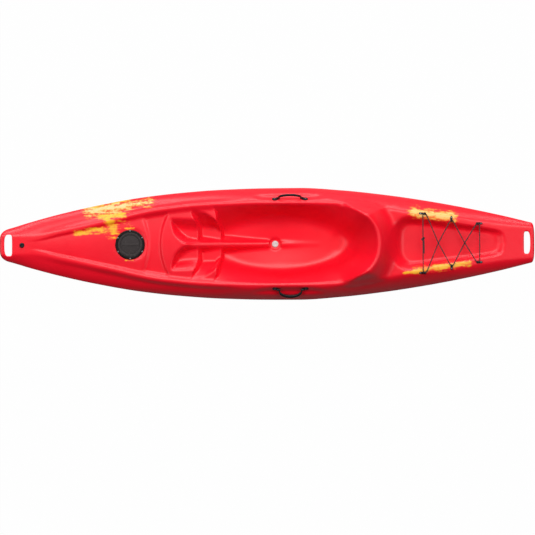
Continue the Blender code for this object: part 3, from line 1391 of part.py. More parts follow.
def foam_block(name, block, grow, collection, material=None):
    """Block that fills the height between the two inner skins and bites into both."""
    low, high, half = block
    rows, columns = 6, 4
    points = []
    for top in (True, False):
        for i in range(rows + 1):
            for k in range(columns + 1):
                x = low + (high - low) * i / rows
                y = -half + 2 * half * k / columns
                if top:
                    z = float(deck_inside(np.array([x]), np.array([y]))[0]) + FOAM_BITE + grow
                else:
                    z = float(bottom_inside(np.array([x]), np.array([y]))[0]) - FOAM_BITE - grow
                x += grow * (2 * i / rows - 1)
                y += grow * (2 * k / columns - 1)
                points.append((x, y, z))
    wide = columns + 1
    layer = wide * (rows + 1)
    faces = []
    for i in range(rows):
        for k in range(columns):
            a = i * wide + k
            faces.append((a, a + wide, a + wide + 1, a + 1))
            faces.append((a + layer, a + layer + 1, a + layer + wide + 1, a + layer + wide))
    border = [k for k in range(wide)]
    border += [i * wide + columns for i in range(1, rows + 1)]
    border += [rows * wide + k for k in range(columns - 1, -1, -1)]
    border += [i * wide for i in range(rows - 1, 0, -1)]
    for a, b in zip(border, border[1:] + border[:1]):
        faces.append((a, b, b + layer, a + layer))
    mesh = bpy.data.meshes.new(name)
    mesh.from_pydata(points, [], faces)
    weld(mesh)
    return add_object(name, mesh, material, collection)


def build_foam(parts, cutters, stuff):
    for name, block in (("seat_foam_block", SEAT_FOAM), ("stern_foam_block", STERN_FOAM)):
        foam_block(name, block, 0.0, parts, stuff["foam"])
        hide_tool(foam_block(name + "_pocket", block, GAP, cutters))


def main():
    clear_scene()
    parts = make_collection("recreational_kayak")
    cutters = make_collection("cutters")
    stuff = {
        "red": make_material("red_polyethylene", RED, 0.35),
        "black": make_material("black_nylon", BLACK, 0.45),
        "dark_grey": make_material("dark_grey_plastic", DARK_GREY, 0.5),
        "pale": make_material("pale_plastic", PALE_GREY, 0.4),
        "rubber": make_material("black_rubber", BLACK, 0.8),
        "steel": make_material("stainless_steel", STEEL, 0.3, 1.0),
        "brass": make_material("brass", BRASS, 0.35, 1.0),
        "cord": make_material("black_shock_cord", BLACK, 0.7),
        "foam": make_material("closed_cell_foam", FOAM_WHITE, 0.9),
    }
    hull = outer_skin(parts)
    hull.data.materials.append(stuff["red"])
    cavity(cutters)
    grip_slot(cutters, "bow_slot", BOW_SLOT, fair(PARTING_HEIGHT, BOW_SLOT[0]), -1)
    grip_slot(cutters, "stern_slot", STERN_SLOT, fair(PARTING_HEIGHT, STERN_SLOT[0]), 1)
    screw = screw_mesh(parts)
    build_hatch(parts, cutters, stuff, screw)
    build_plug("bow_drain_plug", deck_frame(BOW_PLUG_X, 0.0, 0.01, LAND_SINK), BOW_CAP_RADIUS,
               BOW_CAP_HEIGHT, INSERT_SEAT_RADIUS, stuff["black"], stuff, parts, cutters)
    build_plug("seat_drain_plug", deck_frame(DISH_X, 0.0, 0.01, LAND_SINK / 2), SEAT_CAP_RADIUS,
               SEAT_CAP_HEIGHT, SEAT_PLUG_SEAT_RADIUS, stuff["pale"], stuff, parts, cutters)
    build_handle(1, STARBOARD_HANDLE_ANGLE, parts, cutters, stuff, screw)
    build_handle(-1, PORT_HANDLE_ANGLE, parts, cutters, stuff, screw)
    arches = build_eyes(parts, cutters, stuff, screw)
    build_bungee(arches, parts, stuff)
    build_skid(parts, cutters, stuff, screw)
    build_foam(parts, cutters, stuff)
    add_boolean(hull, cutters, "DIFFERENCE")
    hull.data.shade_smooth()


main()
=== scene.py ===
"""Looks of a sit-on-top recreational kayak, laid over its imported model.

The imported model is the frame, in metres, with the bow at -X, starboard at +Y and the keel at
Z = 0.  The hull is drawn again from its own surfaces on a finer grid, each fitting is modelled
with its small detail, and every surface gets a procedural finish.  Run it as a script.
"""

import json
import math

import bmesh
import bpy
import numpy as np
from mathutils import Matrix, Vector

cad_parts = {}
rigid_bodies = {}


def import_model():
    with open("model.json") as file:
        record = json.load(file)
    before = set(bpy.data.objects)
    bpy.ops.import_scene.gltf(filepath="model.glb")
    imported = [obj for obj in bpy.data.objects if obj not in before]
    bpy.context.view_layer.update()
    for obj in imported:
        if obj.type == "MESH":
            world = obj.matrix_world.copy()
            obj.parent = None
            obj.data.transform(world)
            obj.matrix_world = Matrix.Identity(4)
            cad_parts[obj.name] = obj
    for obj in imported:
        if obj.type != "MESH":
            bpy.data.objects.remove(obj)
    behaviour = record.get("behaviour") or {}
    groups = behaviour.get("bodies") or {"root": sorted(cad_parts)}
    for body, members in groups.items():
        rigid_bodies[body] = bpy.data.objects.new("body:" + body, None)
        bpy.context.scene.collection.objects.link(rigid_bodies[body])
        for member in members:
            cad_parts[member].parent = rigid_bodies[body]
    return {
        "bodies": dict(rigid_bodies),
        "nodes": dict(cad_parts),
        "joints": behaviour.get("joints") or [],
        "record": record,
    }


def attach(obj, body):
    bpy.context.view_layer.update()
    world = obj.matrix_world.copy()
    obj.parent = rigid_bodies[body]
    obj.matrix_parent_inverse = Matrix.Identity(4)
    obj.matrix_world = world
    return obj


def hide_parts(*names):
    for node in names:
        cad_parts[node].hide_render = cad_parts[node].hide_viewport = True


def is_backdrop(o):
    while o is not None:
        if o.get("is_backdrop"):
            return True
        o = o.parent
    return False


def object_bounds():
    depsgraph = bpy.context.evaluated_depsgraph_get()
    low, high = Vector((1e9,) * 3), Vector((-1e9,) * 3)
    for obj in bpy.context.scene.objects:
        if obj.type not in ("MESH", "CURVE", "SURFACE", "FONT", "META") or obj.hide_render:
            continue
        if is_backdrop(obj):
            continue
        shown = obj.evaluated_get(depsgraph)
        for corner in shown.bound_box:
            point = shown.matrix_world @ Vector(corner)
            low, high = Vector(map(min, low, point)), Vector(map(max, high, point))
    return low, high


bl_info = {
    "name": "Recreational kayak",
    "version": (1, 0, 0),
    "blender": (4, 5, 0),
    "location": "View3D > Sidebar > Kayak",
    "description": "Builds a sit-on-top kayak with its fittings, finishes, light and camera",
    "category": "Object",
}

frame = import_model()
CAD_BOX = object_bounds()

# Main sizes
LENGTH = 3.205
WALL = 0.006
GAP = 0.0003
LEAST = 1e-6

# Shares of the half breadth that the keel, chines and rims keep within where the ends draw in.
# The rim's inner edge keeps to a share of the rim's own place
KEEL_MOST = 0.2
KEEL_SIDE_MOST = 0.04
LOW_CHINE_GAP = 0.01
LOW_CHINE_MOST = 0.45
HIGH_CHINE_MOST = 0.75
RIM_MOST = 0.72
RIM_OUTER_MOST = 0.8
RIM_INNER_LEAST = 0.6

# Hull lines: place along the half length (-1 bow, 0 midships, 1 stern) and value in metres
HALF_BEAM = (
    (-1.0, 0.088), (-0.967, 0.099), (-0.886, 0.1376), (-0.774, 0.186), (-0.624, 0.2395),
    (-0.474, 0.2815), (-0.3245, 0.309), (-0.175, 0.3263), (0.0, 0.3345), (0.125, 0.3355),
    (0.275, 0.3205), (0.437, 0.292), (0.587, 0.2565), (0.736, 0.213), (0.874, 0.1657), (1.0, 0.116),
)
KEEL_HEIGHT = (
    (-1.0, 0.299), (-0.964, 0.282), (-0.9485, 0.262), (-0.926, 0.231), (-0.886, 0.194),
    (-0.774, 0.124), (-0.624, 0.071), (-0.474, 0.0455), (-0.3245, 0.028), (-0.175, 0.0105),
    (-0.07, 0.0), (0.281, 0.0), (0.437, 0.0135), (0.587, 0.0235), (0.736, 0.0300), (0.8736, 0.0405),
    (0.8767, 0.062), (0.8986, 0.105), (0.936, 0.145), (0.967, 0.178), (1.0, 0.187),
)
PARTING_HEIGHT = (
    (-1.0, 0.313), (-0.9485, 0.281), (-0.834, 0.240), (-0.748, 0.217), (-0.661, 0.202),
    (-0.574, 0.194), (-0.331, 0.185), (0.0, 0.176), (0.374, 0.176), (0.758, 0.180),
    (0.942, 0.193), (1.0, 0.203),
)
RIM_HEIGHT = (
    (-1.0, 0.3276), (-0.967, 0.3276), (-0.942, 0.322), (-0.886, 0.306), (-0.774, 0.2848),
    (-0.624, 0.2706), (-0.549, 0.272), (-0.4, 0.281), (-0.175, 0.292), (0.0, 0.3015),
    (0.0624, 0.3045), (0.275, 0.304), (0.493, 0.300), (0.6365, 0.2796), (0.796, 0.249),
    (0.892, 0.235), (1.0, 0.222),
)
RIM_PLACE = (
    (-1.0, 0.05), (-0.886, 0.045), (-0.774, 0.081), (-0.587, 0.147), (-0.4, 0.211),
    (-0.206, 0.240), (0.0, 0.2465), (0.125, 0.2465), (0.275, 0.240), (0.518, 0.178),
    (0.686, 0.146), (0.799, 0.116), (0.886, 0.095), (1.0, 0.08),
)
LOW_CHINE_PLACE = (
    (-1.0, 0.030), (-0.886, 0.034), (-0.71, 0.058), (-0.514, 0.100), (-0.38, 0.124),
    (-0.206, 0.138), (0.0, 0.138), (0.24, 0.125), (0.5, 0.0955), (0.71, 0.060), (0.85, 0.034), (1.0, 0.034),
)
LOW_CHINE_HEIGHT = (
    (-1.0, 0.303), (-0.886, 0.214), (-0.71, 0.129), (-0.514, 0.081), (-0.38, 0.060), (-0.206, 0.040),
    (0.0, 0.0265), (0.206, 0.0265), (0.5, 0.048), (0.71, 0.077), (0.85, 0.102), (0.906, 0.122), (1.0, 0.189),
)
HIGH_CHINE_PLACE = (
    (-1.0, 0.05), (-0.886, 0.08), (-0.71, 0.13), (-0.514, 0.185), (-0.38, 0.215), (-0.2, 0.235),
    (0.0, 0.240), (0.24, 0.230), (0.5, 0.194), (0.71, 0.14), (0.87, 0.09), (1.0, 0.07),
)
HIGH_CHINE_HEIGHT = (
    (-1.0, 0.309), (-0.886, 0.235), (-0.71, 0.162), (-0.514, 0.124), (-0.38, 0.109), (-0.206, 0.093),
    (0.0, 0.086), (0.206, 0.086), (0.5, 0.100), (0.71, 0.119), (0.85, 0.139), (0.94, 0.165), (1.0, 0.197),
)
# Depth of the deck panel inside the rims, bow to stern
PANEL_DEPTH = 0.014
PANEL_DROP = (
    (-1.0, 0.0), (-0.9, 0.0), (-0.8, 0.010), (-0.6, PANEL_DEPTH), (-0.2, PANEL_DEPTH), (-0.05, 0.0),
    (1.0, 0.0),
)

# Rounding of the moulding
TIP_NOSE = 0.014
TIP_FLAT = 0.25
EDGE_ROUND = 0.010
FLOOR_ROUND = 0.050
CHINE_ROUND = 0.010
FLANK_BULGE = 1.35
SIDE_FLARE = 0.75
SIDE_BLEND_START = -0.6

# Keel
KEEL_HALF_WIDTH = 0.025
KEEL_STEP = 0.009
KEEL_SIDE = 0.007
BOTTOM_HOLLOW = 0.003
POCKET_FRONT_X = 0.397
POCKET_BACK_X = 0.566
POCKET_HALF_WIDTH = 0.0225
POCKET_SHELF = 0.006
POCKET_DEPTH = 0.034
POCKET_SWELL = 0.010
POCKET_SWELL_REACH = 0.13
# Shares of the pocket's length: end of its first step, start of its ramp and the ramp's length
POCKET_STEP, POCKET_RAMP_START, POCKET_RAMP = 0.08, 0.45, 0.35

# Rims and inner panel
RIM_TOP = 0.023
PANEL_RAMP = 0.018
PANEL_CROWN = 0.008

# Cross trough between the hatch and the footwells
TROUGH_FRONT_X = -0.717
TROUGH_BACK_X = -0.632
TROUGH_WAIST = 0.170
TROUGH_FLARE = 0.038
TROUGH_DEPTH = 0.012
TROUGH_RAMP = 0.016

# Seat tub: front edges as (x, y, x, y, wall slope) on the starboard side
TUB_FRONT_X = -0.276
TUB_FRONT_EDGES = (
    (-0.300, 0.0, -0.304, 0.150, 4.5),
    (-0.306, 0.174, -0.332, 0.222, 2.6),
)
TUB_CENTRE = (0.0, 0.05)
TUB_FRONT_SWEEP = 0.108
TUB_FRONT_HALF_WIDTH = 0.222
TUB_FRONT_REACH = 0.3
TUB_SWEEP_START = 0.5
TUB_END_X = 0.664
TUB_END_LENGTH = 0.284
TUB_END_FULLNESS = 2.2
TUB_OUTSIDE_SLOPE = 3.0
FLOOR_Z = 0.0875
FLOOR_RISE = 0.012
FLOOR_X = 0.075
FLOOR_HALF_LENGTH = 0.42
FLOOR_HALF_WIDTH = 0.170
DISH_X = 0.048
DISH_RADIUS = 0.039
DISH_DEPTH = 0.008
DISH_WALL = 0.010

# Moulded backrest
BACK_HEIGHT = 0.118
BACK_START_X = 0.42
BACK_FULL_X = 0.60
BACK_DROOP = 0.010
BACK_ROUND = 0.040
BACK_SLOPE = 1.9
BACK_SIDE_SLOPE = 2.6
BACK_FOOT_ROUND = 0.070
BACK_FADE = 0.08

# Footwell steps: tread heights, and edges as (x, y, x, y, wall slope) on the starboard side
UPPER_TREAD_Z = 0.220
LOWER_TREAD_Z = 0.172
STEP_FILLET = 0.016
STEPS_REACH = 0.1
NOT_SUNK = 1.0
FAR_OFF = 10.0
UPPER_STEP_EDGES = (
    (-0.579, 0.153, -0.435, 0.147, 1.15),
    (-0.579, 0.153, -0.570, 0.096, 1.7),
    (-0.570, 0.096, -0.552, 0.054, 1.7),
    (-0.552, 0.054, -0.512, 0.018, 1.7),
    (-0.512, 0.018, -0.470, -0.004, 1.9),
)
LOWER_STEP_SIDE = ((-0.462, 0.204), (-0.414, 0.201), (-0.366, 0.186), (-0.330, 0.162), (-0.285, 0.117))
LOWER_STEP_BASE = 0.108
LOWER_STEP_LEAST = 0.032
LOWER_STEP_FRONT = (
    (-0.462, 0.204, -0.436, 0.147, 2.4),
    (-0.436, 0.130, -0.440, 0.0, 2.4),
)
UPPER_STEP_CENTRE = (-0.47, 0.075)
LOWER_STEP_CENTRE = (-0.36, 0.075)

# Spine between the footwells
SPINE_FRONT_X = -0.536
SPINE_END_X = 0.316
SPINE_HALF_WIDTH = 0.015
SPINE_END_HALF_WIDTH = 0.010
SPINE_SLOPE = 2.0
SPINE_FALL = 2.2
SPINE_DISH_SINK = 0.05
SPINE_END_SINK = 0.02

# Tankwell: edges as (x, y, x, y, wall slope) on the starboard side
TANK_EDGES = (
    (0.7235, -0.030, 0.7290, 0.045, 1.0),
    (0.729, 0.045, 0.7445, 0.084, 1.0),
    (0.7445, 0.084, 0.767, 0.120, 1.0),
    (0.767, 0.120, 0.797, 0.148, 1.1),
    (0.797, 0.148, 0.850, 0.1615, 1.3),
    (0.850, 0.1615, 1.381, 0.077, 1.5),
    (1.381, 0.077, 1.410, 0.060, 1.2),
    (1.410, 0.060, 1.421, 0.030, 0.9),
    (1.421, 0.030, 1.4225, -0.020, 0.8),
)
TANK_START_X = 0.69
TANK_CENTRE = (1.0, 0.02)
TANK_FILLET = 0.016
TANK_FLOOR_FRONT_Z = 0.243
TANK_FLOOR_BACK_Z = 0.209
TANK_FRONT_X = 0.80
TANK_BACK_X = 1.40

# Side scallops, and the shallow panels behind them
SCALLOP_X = 0.137
SCALLOP_HALF_LENGTH = 0.318
SCALLOP_TOP_PLACE = 0.2585
SCALLOP_SLOPE = 2.14
SCALLOP_SHELF_Z = 0.262
SCALLOP_SHELF_PLACE = 0.280
SCALLOP_SHELF_SLOPE = 0.35
SCALLOP_FADE = 0.06
SCALLOP_END_POWER = 4
SIDE_PANEL_FRONT_X = 0.800
SIDE_PANEL_BACK_X = 1.084
SIDE_PANEL_DEPTH = 0.003
SIDE_PANEL_RAMP = 0.008
SIDE_PANEL_BAND = (0.22, 0.80)

# Grip slots in the ends
BOW_SLOT = (-1.575, -1.529, 0.128)
STERN_SLOT = (1.540, 1.578, 0.133)
CAVITY_BOW_X = -1.500
CAVITY_STERN_X = 1.505

# Hatch.  Its heights are above the flat land it sits on
HATCH_X = -0.822
HATCH_LAND_Z = 0.2625
HATCH_LAND_RADIUS = 0.104
HATCH_SEAT_RADIUS = 0.0905
HATCH_HOLE_RADIUS = 0.0785
LAND_RAMP = 0.012
LAND_SINK = 0.001
RING_RADIUS = 0.0885
RING_THICK = 0.005
RING_BORE = 0.0742
RING_LEDGE_BORE = 0.068
RING_LEDGE_DEPTH = 0.007
SPIGOT_RADIUS = 0.0775
SPIGOT_DEPTH = 0.022
GASKET_THICK = 0.0015
LID_RADIUS = 0.0735
LID_NECK_RADIUS = 0.0665
LID_THICK = 0.0045
LID_DISH_RADIUS = 0.060
LID_DISH_DEPTH = 0.0035
LID_SKIRT = 0.018
LID_WALL = 0.0035
LID_BAR = (0.100, 0.014, 0.0030)
LID_SEAL_THICK = 0.002
HATCH_SCREWS = 6
HATCH_SCREW_CIRCLE = 0.0830

# Drain plugs, each screwed into an insert through the hull
BOW_PLUG_X = -1.470
BOW_CAP_HEIGHT = 0.005
SEAT_CAP_RADIUS = 0.0195
SEAT_CAP_HEIGHT = 0.004
PLUG_SHANK_RADIUS = 0.0078
PLUG_LENGTH = 0.013
PLUG_SEAL_THICK = 0.0015
INSERT_RADIUS = 0.0110
INSERT_FLANGE = 0.0015
INSERT_SEAT_RADIUS = 0.0160
SEAT_PLUG_SEAT_RADIUS = 0.0215
PLUG_SLOPE_REACH = 0.01

# Carry handles.  Heights are above the wall of the side scallop they are fixed to
HANDLE_X = 0.1377
HANDLE_SPACING = 0.181
HANDLE_PLACE = 0.268
PAD_RADIUS = 0.018
PAD_THICK = 0.004
PAD_NECK_END = 0.0195
PAD_NECK_HALF_WIDTH = 0.008
PAD_SEAT_MARGIN = 0.0012
PAD_SEAT_HALF_WIDTH = 0.0125
PAD_SEAT_END = 0.0320
LUG_START = 0.009
LUG_HALF_WIDTH = 0.0055
LUG_HEIGHT = 0.0125
PIVOT_HEIGHT = 0.0084
PIVOT_DROP = 0.004
PIVOT_PIN_RADIUS = 0.0033
PIVOT_PIN_END = 0.0293
PAD_SCREW_X = -0.003
EYE_BORE_RADIUS = 0.0037
EYE_RADIUS = 0.0070
EYE_START = 0.0203
EYE_WIDTH = 0.008
GRIP_ROOT = 0.0015
GRIP_REACH = 0.041
GRIP_HALF_WIDTH = 0.0095
GRIP_HALF_DEPTH = 0.007
GRIP_NECK_HALF_WIDTH = 0.0038
GRIP_NECK_HALF_DEPTH = 0.0042
GRIP_SWELL = 3.0
GRIP_SHOULDER = 1.6
PORT_HANDLE_ANGLE = -22.0
STARBOARD_HANDLE_ANGLE = 68.0
HANDLE_INSERT_RADIUS = 0.0042

# Lashing eyes: arch and screw middle (x, distance from centre line), direction and distance
# from arch to screw
EYES = (
    ("front", 0.932, 0.1775, (-1.0, 0.0), 0.026),
    ("middle", 1.105, 0.1450, (0.0, 1.0), 0.015),
    ("rear", 1.2715, 0.1160, (1.0, 0.0), 0.021),
)
EYE_BASE_RADIUS = 0.0065
EYE_BASE_THICK = 0.003
EYE_BASE_OVERHANG = 0.003
EYE_ARCH_RADIUS = 0.0070
EYE_WIRE_RADIUS = 0.0021
EYE_ARCH_LEG = 0.0055
EYE_SEAT_MARGIN = 0.0008
EYE_SLOPE_REACH = 0.010

# Bungee
CORD_RADIUS = 0.003
CORD_LIFT = 0.0082
CORD_TURN = 0.010
CORNER_LIFT = 0.003
CROSSING_LIFT = 0.0037
KNOT_PLACE = 0.026
KNOT_LENGTH = 0.024

# Skid plate
SKID_X = 1.3475
SKID_LENGTH = 0.101
SKID_HALF_WIDTH = 0.0195
SKID_THICK = 0.008
SKID_SINK = 0.002
SKID_CORNER = 0.005
SKID_SCREW_SPACING = 0.051
SKID_HEAD_RADIUS = 0.0050
SKID_HEAD_DEPTH = 0.0036

# Screws
SCREW_HEAD_RADIUS = 0.0042
SCREW_HEAD_HEIGHT = 0.0022
SCREW_SHANK_RADIUS = 0.0019
SCREW_HOLE_RADIUS = 0.0023
SCREW_LENGTH = 0.014

# Detail of the hull: stretches of cross-sections as (from, to, step), and rows across
NOSE_X = LENGTH / 2 - TIP_NOSE
HULL_STRETCHES = (
    (-NOSE_X, -1.52, 0.0025), (-1.52, -1.00, 0.010), (-1.00, -0.70, 0.006), (-0.70, -0.22, 0.004),
    (-0.22, 0.0, 0.008), (0.0, 0.10, 0.004), (0.10, 0.40, 0.010), (0.40, 0.86, 0.006),
    (0.86, 1.36, 0.010), (1.36, 1.44, 0.005), (1.44, 1.53, 0.010), (1.53, NOSE_X, 0.0025),
)
NOSE_STATIONS = 8
DECK_ROWS = (34, 4, 13, 2)
BOTTOM_ROWS = (4, 3, 5, 5, 5, 2)
INNER_ROWS = (16, 1, 6, 1)
DECK_LAST_ROW = 0.97
BOTTOM_LAST_ROW = 0.985
CAVITY_NARROWING = 1.3 * WALL
CAVITY_STATIONS = 220
CAVITY_SHARE = 0.35

# Grip slots: the outer side is rounder than the inner one
GRIP_SLOTS = (BOW_SLOT, STERN_SLOT)
SLOT_OUTER_POWER = 2.8
SLOT_INNER_POWER = 6.0
SLOT_ROLL = 0.005
SLOT_REACH = 0.12

# Most of a straight that a bend at one of its ends takes
BEND_SHARE = 0.45

# Rounding of the ends in plan, and how far creases are eased
TIP_SQUARE = 0.35
TIP_POWER = 2.5
BOW_ROUND = 0.065
STERN_ROUND = 0.018
SKIN_EASE = 2
FLOOR_FOOT_ROUND = 0.100
FLOOR_CORE = 0.001
CRISP_MARGIN = 0.020

# Gutter along the outer side of the rim, as shares of the half length and depths
GUTTER_DEPTH = (
    (-1.0, 0.0), (-0.90, 0.0), (-0.80, 0.010), (-0.62, 0.022), (-0.40, 0.026), (-0.20, 0.022),
    (-0.06, 0.0), (0.22, 0.0), (0.29, 0.014), (0.36, 0.012), (0.46, 0.0), (1.0, 0.0),
)
GUTTER_SHARE = 0.3

# Marbled streaks as strokes (x, y, x, y, width, strength, share of painted sheen, side of the moulding)
# The painted sheen pales a streak's heart to cream, a painted highlight standing in for the gloss on the lit
# flank.
STREAKS = (
    (-1.06, 0.204, -0.86, 0.229, 0.054, 0.80, 1.0, "deck"),
    (-0.86, 0.233, -0.70, 0.254, 0.043, 0.60, 1.0, "deck"),
    (-1.05, 0.226, -0.98, 0.238, 0.022, 0.80, 0.1, "deck"),
    (-0.93, 0.256, -0.83, 0.268, 0.020, 0.75, 0.1, "deck"),
    (-1.00, 0.168, -0.86, 0.181, 0.024, 0.85, 0.0, "deck"),
    (-1.15, 0.072, -1.06, 0.079, 0.022, 0.90, 0.0, "deck"),
    (-1.07, 0.085, -0.97, 0.090, 0.028, 0.80, 0.0, "deck"),
    (-0.955, 0.150, -0.915, 0.075, 0.056, 0.74, 0.0, "deck"),
    (-0.90, 0.150, -0.82, 0.125, 0.035, 0.25, 0.0, "deck"),
    (-0.85, 0.096, -0.80, 0.098, 0.010, 0.70, 0.0, "deck"),
    (-0.85, -0.091, -0.80, -0.093, 0.008, 0.78, 0.0, "deck"),
    (0.88, 0.188, 1.11, 0.155, 0.038, 0.95, 0.6, "deck"),
    (0.88, -0.166, 1.21, -0.120, 0.024, 0.95, 0.1, "deck"),
    (0.82, -0.176, 0.92, -0.163, 0.012, 0.80, 0.0, "deck"),
    (-1.16, 0.190, -0.84, 0.280, 0.060, 0.80, 0.6, "bottom"),
    (0.70, -0.10, 1.05, -0.06, 0.045, 0.60, 0.2, "bottom"),
)
STREAK_GRAIN = (13.0, 65.0, 65.0)
STREAK_TEAR = 0.60
STREAK_BREAK = 0.35
SEAM_REACH = 0.01

# Lengths by which the tools that cut holes and seats pass the surfaces they cut
NOTCH_END = 0.002
NOTCH_SIDE = 0.006
INSERT_CUT = 0.004
SCREW_CUT = 0.006
SHORT_CUT = 0.01
SEAT_CUT = 0.012
DEEP_CUT = 0.02
HATCH_CUT = 0.03

# Detail of the fittings: angles past which an edge is sharp, and roundings of the edges
SHARP_ANGLE = 40
CUT_SHARP_ANGLE = 50
TUBE_SHARP_ANGLE = 60
TURNED_STEPS = 144
RING_INNER_BREAK = (0.0012, 0.0004)
RING_OUTER_BREAK = (0.003, 0.0012)
RING_EDGE = 0.0008
LID_EDGE = 0.0009
LID_BAR_EDGE = 0.0012
PLUG_EDGE = 0.0005
PAD_EDGE = 0.0010
LUG_EDGE = 0.0014
PIVOT_EYE_EDGE = 0.0008
PIN_ROOT = 0.005
EYE_BASE_EDGE = 0.0009
SKID_EDGE = 0.0016
LID_GROOVE = 0.0008
LID_DISH_RUN = 0.002
LID_DISC_RADIUS = 0.056
BOW_CAP_COVER = 0.0145
PLUG_THREADS = 6
PLUG_THREAD_INSET = 0.0015
PLUG_THREAD_DEPTH = 0.0006
PLUG_TIP_BREAK = 0.0004
# Plug's cap from its middle out, as shares of its radius and of its height below the top
PLUG_CAP = ((0.0, 0.45), (0.34, 0.45), (0.50, 0.0), (0.72, 0.06), (0.94, 0.42))
COIN_SLOT_REACH = 0.62
COIN_SLOT_DEPTH = 0.70
COIN_SLOT_HALF_WIDTH = 0.0011
GRIP_RINGS, GRIP_SIDES = 96, 28
GRIP_CROWDING = 0.15
GRIP_BOW_POWER = 0.8
GRIP_RIB = 0.06
GRIP_RIBS = 4
SCREW_TURN = 0.9
# Screw head: power of its dome, then its recess and the shank's rise as shares of its size
SCREW_DOME_POWER = 0.6
RECESS_LENGTH, RECESS_DEPTH, RECESS_MID = 1.15, 1.4, 1.2
SCREW_SHANK_RISE = 0.2
CORD_POINT_STEP = 0.003
CORD_EASE = 12
# How far before and after an eye the cord's route has a point, by where it goes next
CORD_NEAR, CORD_CROSS, CORD_CORNER = 0.006, 0.005, 0.012
KNOT_POINTS = 60
KNOT_LOOP = 0.0031
KNOT_TIGHT = 0.95
TAIL_REACH = 0.082
BRAID_STRANDS = 8
BRAID_PITCH = 160.0

# Camera, light and floor
PHOTO_SIZE = 535
SENSOR = 36.0
FRAME_WIDTH = 3.21
CAMERA_X = 0.001
CAMERA_HEIGHT = 80.0
CAMERA_ROLL = 0.32
MID_HEIGHT = 0.2
BOAT_LINE_PIXEL = 244.0
FLOOR_HALF = 8.0
FLOOR_GLOW = 0.99
FLOOR_SHADE = 0.25
FLOOR_MIRROR = 0.01
WORLD_LIGHT = 0.05
# Lamps as (name, place, size, watts), all aimed at the middle of the boat
LAMP_AIM = Vector((0.0, 0.0, MID_HEIGHT))
LAMPS = (
    ("main_light", (0.0, 2.7, 4.9), (6.5, 2.2), 285.0),
    ("side_light", (0.0, 5.6, 1.5), (6.5, 1.4), 220.0),
    ("bow_light", (-4.2, -0.3, 4.6), (3.0, 3.4), 70.0),
    ("stern_light", (4.2, -0.3, 4.6), (3.0, 3.4), 70.0),
)


# Small curve and blend functions

def fair(line, x):
    """Value at x of the smooth curve through a hull line's points, with no overshoot."""
    place, value = np.array(line, dtype=float).T
    place = place * LENGTH / 2
    x = np.clip(x, place[0], place[-1])
    step = np.diff(place)
    slope = np.diff(value) / step
    before, after = slope[:-1], slope[1:]
    same = before * after > 0
    near, far = 2 * step[1:] + step[:-1], step[1:] + 2 * step[:-1]
    safe_before = np.where(same, before, 1.0)
    safe_after = np.where(same, after, 1.0)
    mean = (near + far) / (near / safe_before + far / safe_after)
    tangent = np.concatenate(([slope[0]], np.where(same, mean, 0.0), [slope[-1]]))
    i = np.clip(np.searchsorted(place, x, side="right") - 1, 0, len(step) - 1)
    t = (x - place[i]) / step[i]
    rise = value[i] + (value[i + 1] - value[i]) * t * t * (3 - 2 * t)
    lean = step[i] * t * (1 - t) * (tangent[i] * (1 - t) - tangent[i + 1] * t)
    return rise + lean


def smooth(t):
    """0 below 0, 1 above 1, and a smooth rise between them."""
    t = np.clip(t, 0.0, 1.0)
    return t * t * (3 - 2 * t)


def soft_max(a, b, radius):
    """Larger of two heights, with the corner where they cross rounded."""
    overlap = np.maximum(radius - np.abs(a - b), 0.0)
    return np.maximum(a, b) + overlap * overlap / (4 * radius)


def soft_min(a, b, radius):
    return -soft_max(-a, -b, radius)


def tip_distance(x):
    return np.maximum(LENGTH / 2 - np.abs(x), 0.0)


def half_beam(x):
    """Half breadth of the hull, with its ends rounded in plan."""
    inside = np.clip(1 - tip_distance(x) / np.where(x < 0, BOW_ROUND, STERN_ROUND), 0.0, 1.0)
    rounding = (1 - inside ** TIP_POWER) ** (1 / TIP_POWER)
    return fair(HALF_BEAM, x) * (TIP_SQUARE + (1 - TIP_SQUARE) * rounding)


def nose(x):
    """Share of the full thickness near the two ends, which close to a rounded nose."""
    inside = np.clip(1 - tip_distance(x) / TIP_NOSE, 0.0, 1.0)
    return TIP_FLAT + (1 - TIP_FLAT) * np.sqrt(1 - inside ** 2)


# Hull bottom

